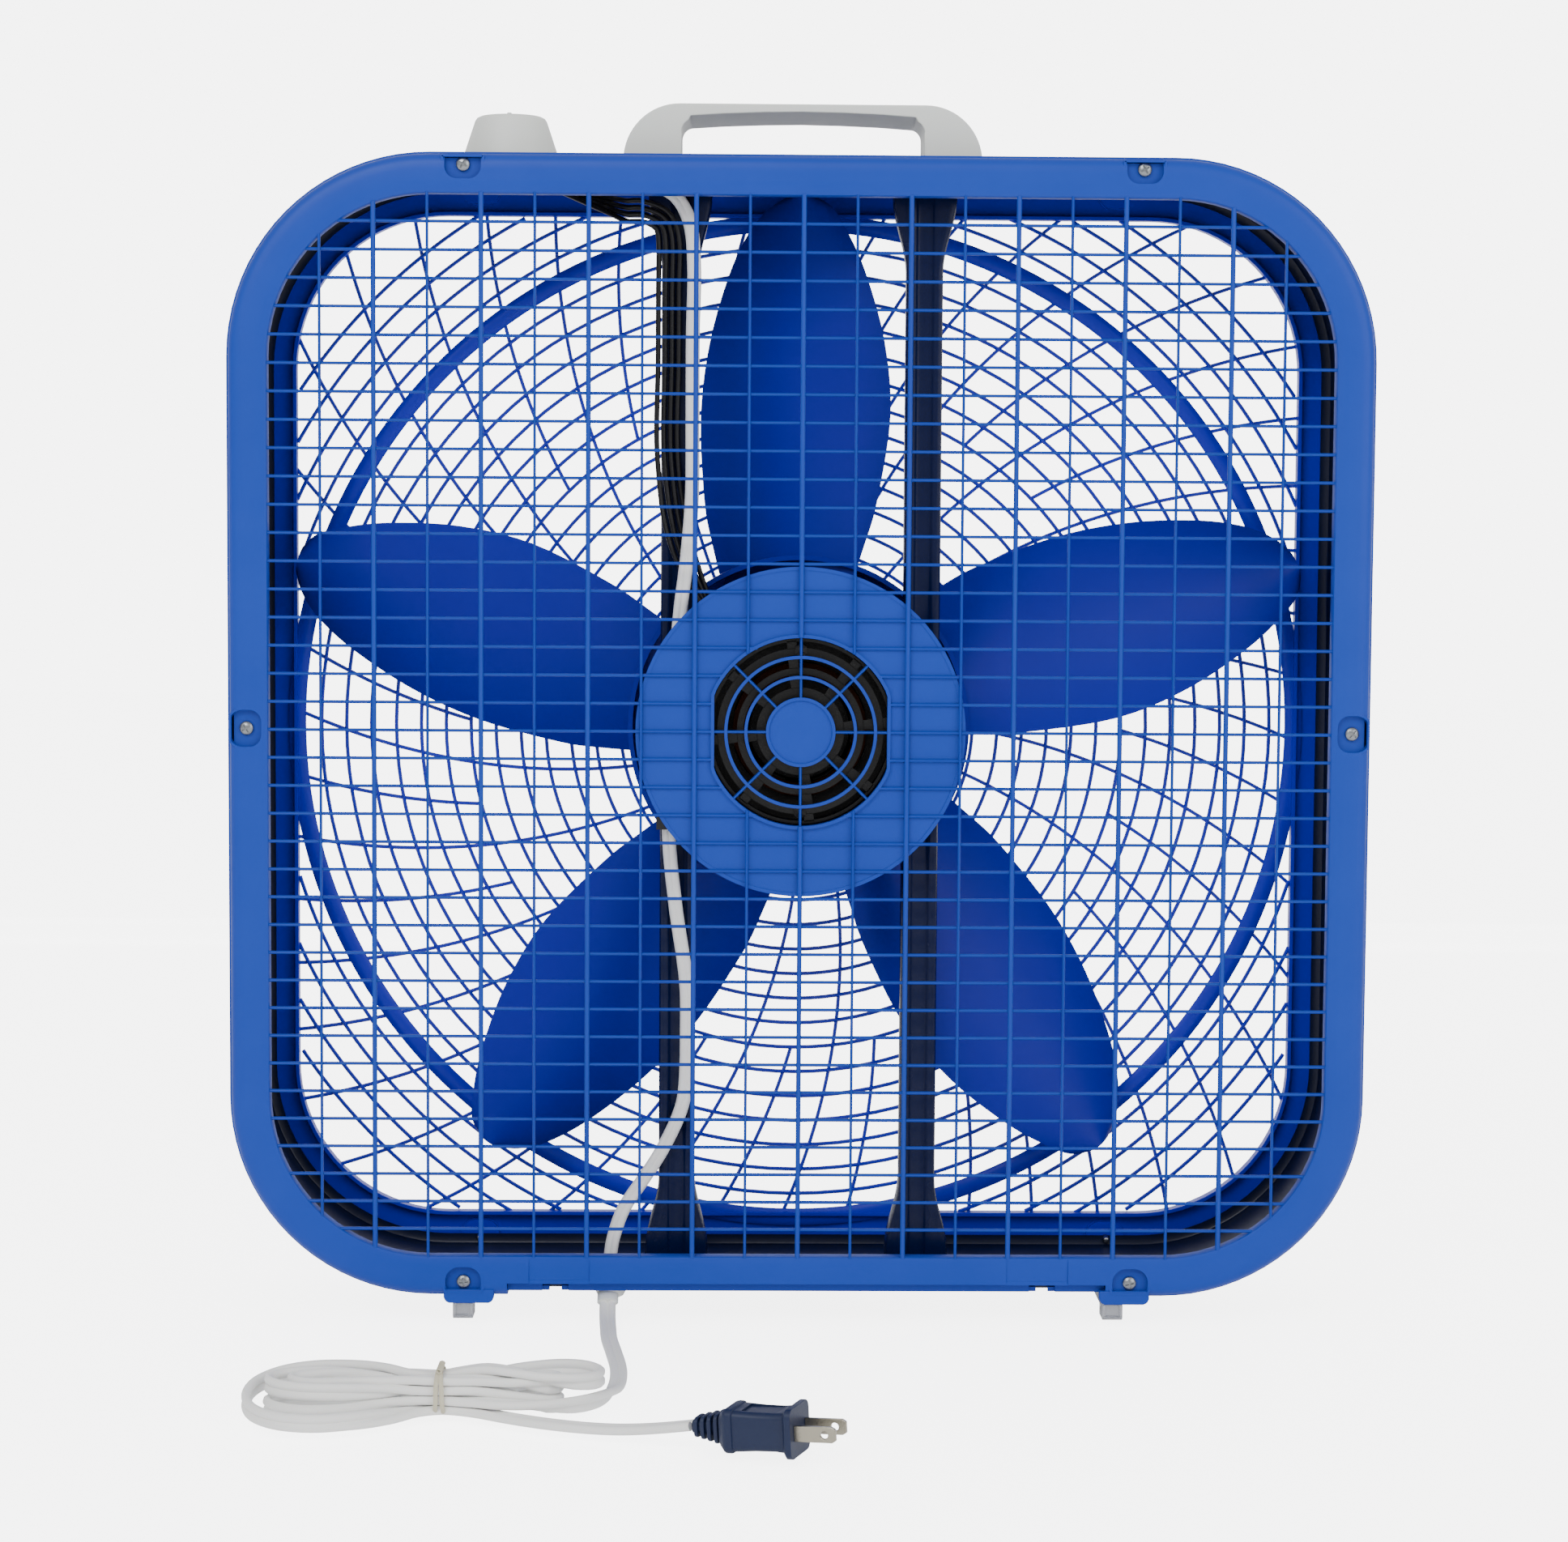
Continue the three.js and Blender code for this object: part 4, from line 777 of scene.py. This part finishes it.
def housing_band():
    """Rolled sheet with an inward flange at both edges, its corners rounded."""
    profile = [(0, -43.7), (0, 43.7), (0.6, 45.1), (2, 45.7), (5.6, 45.7), (5.6, 44.7), (2.2, 44.7),
               (1.3, 44.2), (1, 43.3), (1, -43.3), (1.3, -44.2), (2.2, -44.7), (5.6, -44.7), (5.6, -45.7),
               (2, -45.7), (0.6, -45.1)]
    parts = [framed("housing_sheet", BAND_HALF, BAND_RADIUS, profile)]
    # Tabs of the rear flange that take the grille screws.
    for x, z in corner_screws + side_screws:
        low_x, high_x = (x - 9, x + 9) if abs(z) > 200 else sorted((x, x - math.copysign(6, x)))
        low_z, high_z = (z - 8, z + 8) if abs(z) < 200 else sorted((z, z - math.copysign(7, z)))
        corners = [(low_x, low_z), (high_x, low_z), (high_x, high_z), (low_x, high_z)]
        parts.append(slab("flange_tab", [(px, CENTRE_Z + pz) for px, pz in corners], 44.7, 45.7))
    return joined("housing_sheet", parts)


finished(housing_band(), band_paint, "band_navy", "frame", "housing_band")


def strut(name, side):
    """A pressed channel with rolled edges and two ribs, flared at both ends into a foot."""
    end = BAND_HALF - 1.4
    steps = [0, 8, 14, 18, 22, 26, 30, 34, 38, 42, 46, 50]

    def half_width(from_end):
        t = min(max((from_end - 12) / 34, 0), 1)
        return 14.5 - 6.2 * t * t * (3 - 2 * t)

    stations = [(-end + step, half_width(step)) for step in steps]
    stations += [(end - step, half_width(step)) for step in reversed(steps)]
    rings = []
    for z, half in stations:
        outer = [(-half, 15), (-half, 26.4), (-half + 0.7, 27.7), (-half + 2, 28.2), (-4.6, 28.2), (-4, 27.9),
                 (-3.4, 27), (-2.6, 26.7), (2.6, 26.7), (3.4, 27), (4, 27.9), (4.6, 28.2), (half - 2, 28.2),
                 (half - 0.7, 27.7), (half, 26.4), (half, 15)]
        inner = [(half - 1.2, 15), (half - 1.2, 26), (half - 2.2, 27), (4.8, 27), (2.9, 25.5), (-2.9, 25.5),
                 (-4.8, 27), (-half + 2.2, 27), (-half + 1.2, 26), (-half + 1.2, 15)]
        rings.append([(side * STRUT_X + x, y, CENTRE_Z + z) for x, y in outer + inner])
    parts = [lofted(name, rings, 40)]
    for z in (CENTRE_Z - end, CENTRE_Z + end - 1.2):
        plate = box("foot_plate", (side * STRUT_X - 14, 5, z), (side * STRUT_X + 14, 27.6, z + 1.2))
        parts.append(bevelled(plate, 0.5))
    return joined(name, parts)


finished(strut("strut_channel_left", 1), strut_paint, "strut_navy", "frame", "strut_left")
finished(strut("strut_channel_right", -1), strut_paint, "strut_navy", "frame", "strut_right")


def carry_handle():
    """An arch with rounded corners and a slightly domed grip."""
    base = CENTRE_Z + BAND_HALF + 0.3
    top, half_width, corner = 557, 82.5, 26

    def quarter(steps):
        return [math.pi / 2 * i / steps for i in range(steps + 1)]

    outer = [(half_width, base)]
    for turn in quarter(16):
        outer.append((half_width - corner + corner * math.cos(turn), top - corner + corner * math.sin(turn)))
    inner = [(55.8, base), (55.8, 544)]
    inner += [(50.8 + 5 * math.cos(turn), 544 + 5.6 * math.sin(turn)) for turn in quarter(8)]
    inner += [(36, 550.6), (18, 551.3), (0, 551.6)]
    left = [(-x, z) for x, z in reversed(outer)]
    under_left = [(-x, z) for x, z in inner]
    under_right = list(reversed(inner[:-1]))
    thing = slab("handle_arch", outer + left + under_left + under_right, -17, 17, smooth=25)
    # The grip is thinner at the rear than at the front.
    for vertex in thing.data.vertices:
        if vertex.co.y > 0 and abs(vertex.co.x) < 52 * MM and 548 * MM < vertex.co.z < 553 * MM:
            vertex.co.z += 1.8 * MM
    return bevelled(thing, 1.4, 4)


finished(carry_handle(), pale_plastic, "light_plastic", "frame", "carry_handle")


def control_knob():
    """A tapered knob, hollow underneath round its shaft, with a low pointer on top."""
    low = 529
    profile = [(0, 17.5), (3.3, 17.5), (3.3, 8), (11, 8), (11, 0), (21.7, 0), (22.1, 0.5), (22.1, 3),
               (21.9, 4.4), (21.2, 7.3), (19, 13.9), (17.1, 19.6), (16.6, 21), (15.8, 22.2), (14.4, 22.9),
               (12, 23.2), (8, 23.5), (0, 23.8)]
    body = turned("knob_body", profile, 96, axis="Z", place=(KNOB_X, 0, low))
    pointer = box("pointer", (KNOB_X - 1, 7, low + 22), (KNOB_X + 1, 12.6, low + 23.7))
    return joined("knob_moulding", [body, bevelled(pointer, 0.3)])


case = bevelled(box("case", (KNOB_X - 16.6, -12.6, 518.9), (KNOB_X + 16.6, 12.6, 526.8)), 0.8)
neck_profile = [(3.4, 526), (4.9, 526), (4.9, 531.6), (3.4, 531.6)]
neck = turned("neck", neck_profile, 32, axis="Z", place=(KNOB_X, 0, 0))
switch_case = joined("switch_case", [case, neck])
finished(switch_case, black_plastic, "black_plastic", "frame", "switch_body")
finished(control_knob(), pale_plastic, "light_plastic", "knob", "control_knob")


def foot(name, x):
    """A clear peg at each end and a bridge between them; the pegs' outer faces are hollowed."""
    outline = [(-50.5, 0), (-38, 0), (-38, 5), (38, 5), (38, 0), (50.5, 0), (52, 1.2), (52, 7.2), (35.5, 7.2),
               (35.5, 12.9), (-35.5, 12.9), (-35.5, 7.2), (-52, 7.2), (-52, 1.2)]
    thing = lofted(name, [[(x + side, y, z) for y, z in outline] for side in (-4.6, 4.6)], 25)
    for low, high in ((50.2, 53), (-53, -50.2)):
        cut_with(thing, box("hollow", (x - 3.2, low, 1.6), (x + 3.2, high, 6.6)))
    return bevelled(thing, 0.4)


finished(foot("foot_pad_left", 153.3), clear_plastic, "clear_plastic", "frame", "foot_left")
finished(foot("foot_pad_right", -145.4), clear_plastic, "clear_plastic", "frame", "foot_right")

# ---- Propeller and motor ------------------------------------------------------------------------

# Each station is the distance from the axis, where the two edges are across, and their depths.
blade_stations = [
    (66, 24, -36.5, 1, -33), (84, 30, -41, 1, -34), (105, 36, -45, 1, -35), (145, 42, -47, 0.5, -36),
    (180, 39, -43, -1, -35), (212, 30, -34, -4, -32), (232, 21, -24.5, -7.5, -28),
    (243, 14, -15, -10.5, -23.5), (248, 6, -6.5, -13.5, -19.5),
]
BLADE_BELLY = 5


def fan_blade(turn):
    """One blade, lofted through its stations, curved across and thinner at its edges."""
    across = 14
    spin = Matrix.Rotation(turn, 3, "Y")
    rings = []
    for along, lead, trail, lead_y, trail_y in smooth_path(blade_stations, 5):
        ring = []
        for face in (1, -1):
            steps = range(across + 1) if face == 1 else range(across - 1, 0, -1)
            for k in steps:
                t = k / across
                bulge = math.sin(math.pi * t)
                half = 1.1 * (0.4 + 0.6 * math.sqrt(bulge)) if 0 < k < across else 0
                side = trail + (lead - trail) * t
                depth = trail_y + (lead_y - trail_y) * t + BLADE_BELLY * bulge + face * half
                ring.append(spin @ Vector((-side, depth, along)) + Vector((0, 0, CENTRE_Z)))
        rings.append(ring)
    return lofted("blade", rings, 50)


def propeller():
    """Five blades on a cup-shaped hub with ribs inside it."""
    profile = [(4.3, -36), (70, -36), (75, -35.4), (78.4, -33.4), (79.8, -30), (80, -26), (80, 4), (77.8, 4),
               (77.8, -26), (77, -30.6), (73, -33.8), (12, -33.8), (10, -33), (9.5, -31), (9.5, -20),
               (4.3, -20)]
    hub = turned("hub", profile, 96, place=(0, 0, CENTRE_Z))
    parts = [hub] + [fan_blade(2 * math.pi * i / 5) for i in range(5)]
    for i in range(10):
        turn = 2 * math.pi * i / 10
        path = [(r * math.cos(turn), -31.4, CENTRE_Z + r * math.sin(turn)) for r in (10, 44, 77.9)]
        parts.append(sweep("hub_rib", path, ALONG_Y, [(-0.9, -3), (0.9, -3), (0.9, 4), (-0.9, 4)]))
    return joined("propeller_moulding", parts)


finished(propeller(), blade_blue, "propeller_blue", "rotor", "fan_propeller")


def motor_rear_bell():
    """The bell with its bearing seat, its ring of slots and its four ears."""
    wall_profile = [(45, 24), (45, 40.4), (44.2, 42.6), (42.4, 44), (41, 44), (41, 42), (42.6, 40.6),
                    (43, 39.6), (43, 24)]
    seat_profile = [(8.3, 33.5), (10.8, 33.5), (10.8, 42), (20, 42), (20, 44), (12, 44), (11, 45), (2, 45),
                    (1, 44), (1, 42), (8.3, 42)]
    parts = [turned("bell_wall", wall_profile, 96, place=(0, 0, CENTRE_Z)),
             turned("bell_seat", seat_profile, 64, place=(0, 0, CENTRE_Z))]
    for inner, outer in ((26, 29), (34.5, 38)):
        parts.append(ring_sector("bell_ring", inner, outer, 42, 44, steps=80))
    for inner, outer in ((19.8, 26.2), (28.8, 34.7), (37.8, 41.4)):
        for i in range(8):
            middle = math.radians(45 * i - 6)
            half = 2.1 / inner
            parts.append(ring_sector("bridge", inner, outer, 42, 44, middle - half, middle + half, steps=120))
    for side in (-1, 1):
        for height in (-28, 28):
            near, far = sorted((side * 40, side * 62))
            ear = box("ear", (near, 28.6, CENTRE_Z + height - 6), (far, 31, CENTRE_Z + height + 6))
            parts.append(bevelled(ear, 0.8))
    return joined("motor_bell_rear", parts)


finished(motor_rear_bell(), black_paint, "black_paint", "frame", "motor_rear_bell")

# ---- Cord and leads inside the body --------------------------------------------------------------

inner_cord_points = [
    (87, 38, 13), (86.6, 37.4, 22), (85, 35, 34), (80, 33, 48), (70, 31.6, 63), (62, 31, 76),
    (54.6, 31, 92), (52, 31, 105), (51.4, 31, 130), (52, 31, 155), (57, 31.5, 190), (60, 36, 225),
    (58, 40, 262), (57, 41, 300), (55, 41.8, 325), (52, 41, 350), (50, 36, 378), (50, 31.2, 410),
    (50, 31, 450), (49.5, 31, 480), (51.5, 31, 501), (59, 31.3, 514), (72, 31, 518.5), (86, 27, 519),
    (100, 19, 519), (116.3, 8, 519),
]
inner_line = even_path(inner_cord_points, 3.0)


def level_sides(line):
    """Rearwards at each point, which is the thin way of a flat cord laid against a strut."""
    return [ALONG_Y if abs(p[0]) < 84 else Vector((0.35, 1, 0)) for p in line]


inner_cord = sweep("inner_cord_run", inner_line, level_sides(inner_line),
                   cord_section(6.4, CORD_THICKNESS), smooth=60)
finished(inner_cord, cord_vinyl, "white_vinyl", "frame", "inner_cord")

LEAD_PITCH = 3.1
LEAD_CORNER_X = 73.5
LEAD_CORNER_Z = 494
LEAD_RADIUS = 1.2


def lead_points(index):
    """One lead: side by side at the switch, nested one under the other round the corner to the strut."""
    x = 56.5 + LEAD_PITCH * index
    radius = LEAD_CORNER_X - x
    bend = radius * math.sqrt(0.5)
    switch_end = Vector((117.8, -8 + LEAD_PITCH * index, 520.6))
    corner_end = Vector((80, 31, LEAD_CORNER_Z + radius))
    across = [tuple(switch_end.lerp(corner_end, k / 5)) for k in range(6)]
    return across + [
        (LEAD_CORNER_X, 31, LEAD_CORNER_Z + radius), (LEAD_CORNER_X - bend, 31, LEAD_CORNER_Z + bend),
        (x, 31, LEAD_CORNER_Z), (x, 30.2, 470), (x, 30.2, 440), (x, 30.2, 392),
        (x - 8, 32 + 1.5 * index, 350), (33 - 0.6 * index, 32.5 + 3 * index, 308),
    ]


for index in range(4):
    lead = sweep(f"lead_{index + 1}", even_path(lead_points(index), 2.5), (0.2, 1, 0.3),
                 round_section(LEAD_RADIUS, LEAD_RADIUS, 12), smooth=60)
    finished(lead, lead_vinyl, "black_vinyl", "frame", f"motor_lead_{index + 1}")

# The bushing is a rounded collar under the band with the cord coming out of its rear side.
collar_profile = [(0, 7.2), (3.8, 7.4), (5.9, 8.4), (6.9, 10.2), (7.3, 12.9), (5.2, 13.1), (5.2, 17),
                  (4.6, 17.4), (0, 17.4)]
collar = turned("collar", collar_profile, 48, axis="Z", place=(86, 38.6, 0))
snout_line = smooth_path([(87, 37, 12), (87, 41, 10.8), (87, 45, 8.9), (87, 47.8, 6.9)], 5)
snout = sweep("snout", snout_line, (0, 0.4, 1), round_section(4.9, 2.9, 20), smooth=60)
finished(joined("cord_collar", [collar, snout]), pale_plastic, "light_plastic", "frame", "cord_bushing")

# ---- Screws -------------------------------------------------------------------------------------


def pan_screw_mesh():
    """A pan head with a cross recess and its shank, pointing along +Y from y = 0."""
    profile = [(0, -10), (1.2, -9.4), (1.6, -8), (1.6, 0), (3.1, 0), (3.2, 0.5), (3, 1.3), (2.3, 1.9),
               (1.2, 2.2), (0, 2.25)]
    screw = turned("screw", profile, 40)
    for low, high in (((-2.1, 1.1, -0.42), (2.1, 3, 0.42)), ((-0.42, 1.1, -2.1), (0.42, 3, 2.1))):
        cut_with(screw, box("recess", low, high))
    mesh = screw.data
    bpy.data.objects.remove(screw)
    return mesh


screw_mesh = pan_screw_mesh()
random.seed(7)
SCREW_SEAT = BODY_HALF_DEPTH - 3.2
screw_places = [(f"rear_screw_{i + 1}", (x, SCREW_SEAT, CENTRE_Z + z), 0.0)
                for i, (x, z) in enumerate(corner_screws + side_screws)]
screw_places += [(f"front_screw_{i + 1}", (-x, -SCREW_SEAT, CENTRE_Z + z), math.pi)
                 for i, (x, z) in enumerate(corner_screws)]
for node, place, half_turn in screw_places:
    mesh = screw_mesh.copy()
    spin = Matrix.Rotation(half_turn, 4, "Z") @ Matrix.Rotation(random.uniform(0, math.pi / 2), 4, "Y")
    mesh.transform(Matrix.Translation(Vector(place) * MM) @ spin)
    screw = bpy.data.objects.new("head_" + node, mesh)
    bpy.context.scene.collection.objects.link(screw)
    finished(screw, zinc_plate, "zinc", "frame", node)

# ---- Pieces taken over from the CAD -------------------------------------------------------------

# The motor's inside is varnished, and its bolts are blackened.
dark_pieces = dict.fromkeys(("stator_core", "rotor_core", "motor_bolt_1", "motor_bolt_2"), varnished_steel)
for name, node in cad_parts.items():
    for entry in node.material_slots:
        slot_name = entry.material.name.split(".")[0] if entry.material else ""
        entry.material = dark_pieces.get(name, slot_finish.get(slot_name, black_paint))

# ---- Floor and light ----------------------------------------------------------------------------

floor_finish = material("floor_finish", (0.93, 0.93, 0.93), 0.75, grain=0.02, mottle=0.004, shine=0.1)
backdrop_line = [(0, 4000, -0.3), (0, -900, -0.3), (0, -1300, 40), (0, -1600, 200), (0, -1800, 500),
                 (0, -1900, 4000)]
backdrop_section = [(0, -4000), (0, 4000), (-2, 4000), (-2, -4000)]
backdrop = sweep("backdrop", smooth_path(backdrop_line, 8), (1, 0, 0), backdrop_section)
backdrop.data.materials.append(floor_finish)


def show_white(shader, nodes, links, plain, shown):
    """Light that the camera sees at one strength and the object at another."""
    rays = nodes.new("ShaderNodeLightPath")
    level = nodes.new("ShaderNodeMapRange")
    level.inputs["To Min"].default_value = plain
    level.inputs["To Max"].default_value = shown
    links.new(rays.outputs["Is Camera Ray"], level.inputs["Value"])
    links.new(level.outputs["Result"], shader)


tree = floor_finish.node_tree
floor_shader = tree.nodes["Principled BSDF"]
floor_shader.inputs["Emission Color"].default_value = (1, 1, 1, 1)
show_white(floor_shader.inputs["Emission Strength"], tree.nodes, tree.links, 0.3, 5.0)

world = bpy.data.worlds.new("studio")
bpy.context.scene.world = world
world.use_nodes = True
sky = world.node_tree.nodes["Background"]
sky.inputs["Color"].default_value = (1, 1, 1, 1)
show_white(sky.inputs["Strength"], world.node_tree.nodes, world.node_tree.links, 0.75, 6.0)


def soft_light(name, place, size, power):
    """A rectangular light aimed at the middle of the fan. Lengths here are in metres."""
    data = bpy.data.lights.new(name, "AREA")
    data.shape = "RECTANGLE"
    data.size, data.size_y = size
    data.energy = power
    light = bpy.data.objects.new(name, data)
    bpy.context.scene.collection.objects.link(light)
    light.location = place
    light.rotation_euler = (Vector((0, 0, 0.25)) - Vector(place)).to_track_quat("-Z", "Y").to_euler()


soft_light("key", (0.9, 2.2, 1.9), (1.6, 1.2), 38)
soft_light("fill", (-1.6, 1.8, 1.1), (1.4, 1.4), 18)
soft_light("behind", (0.2, -2.2, 1.4), (2.2, 1.4), 36)
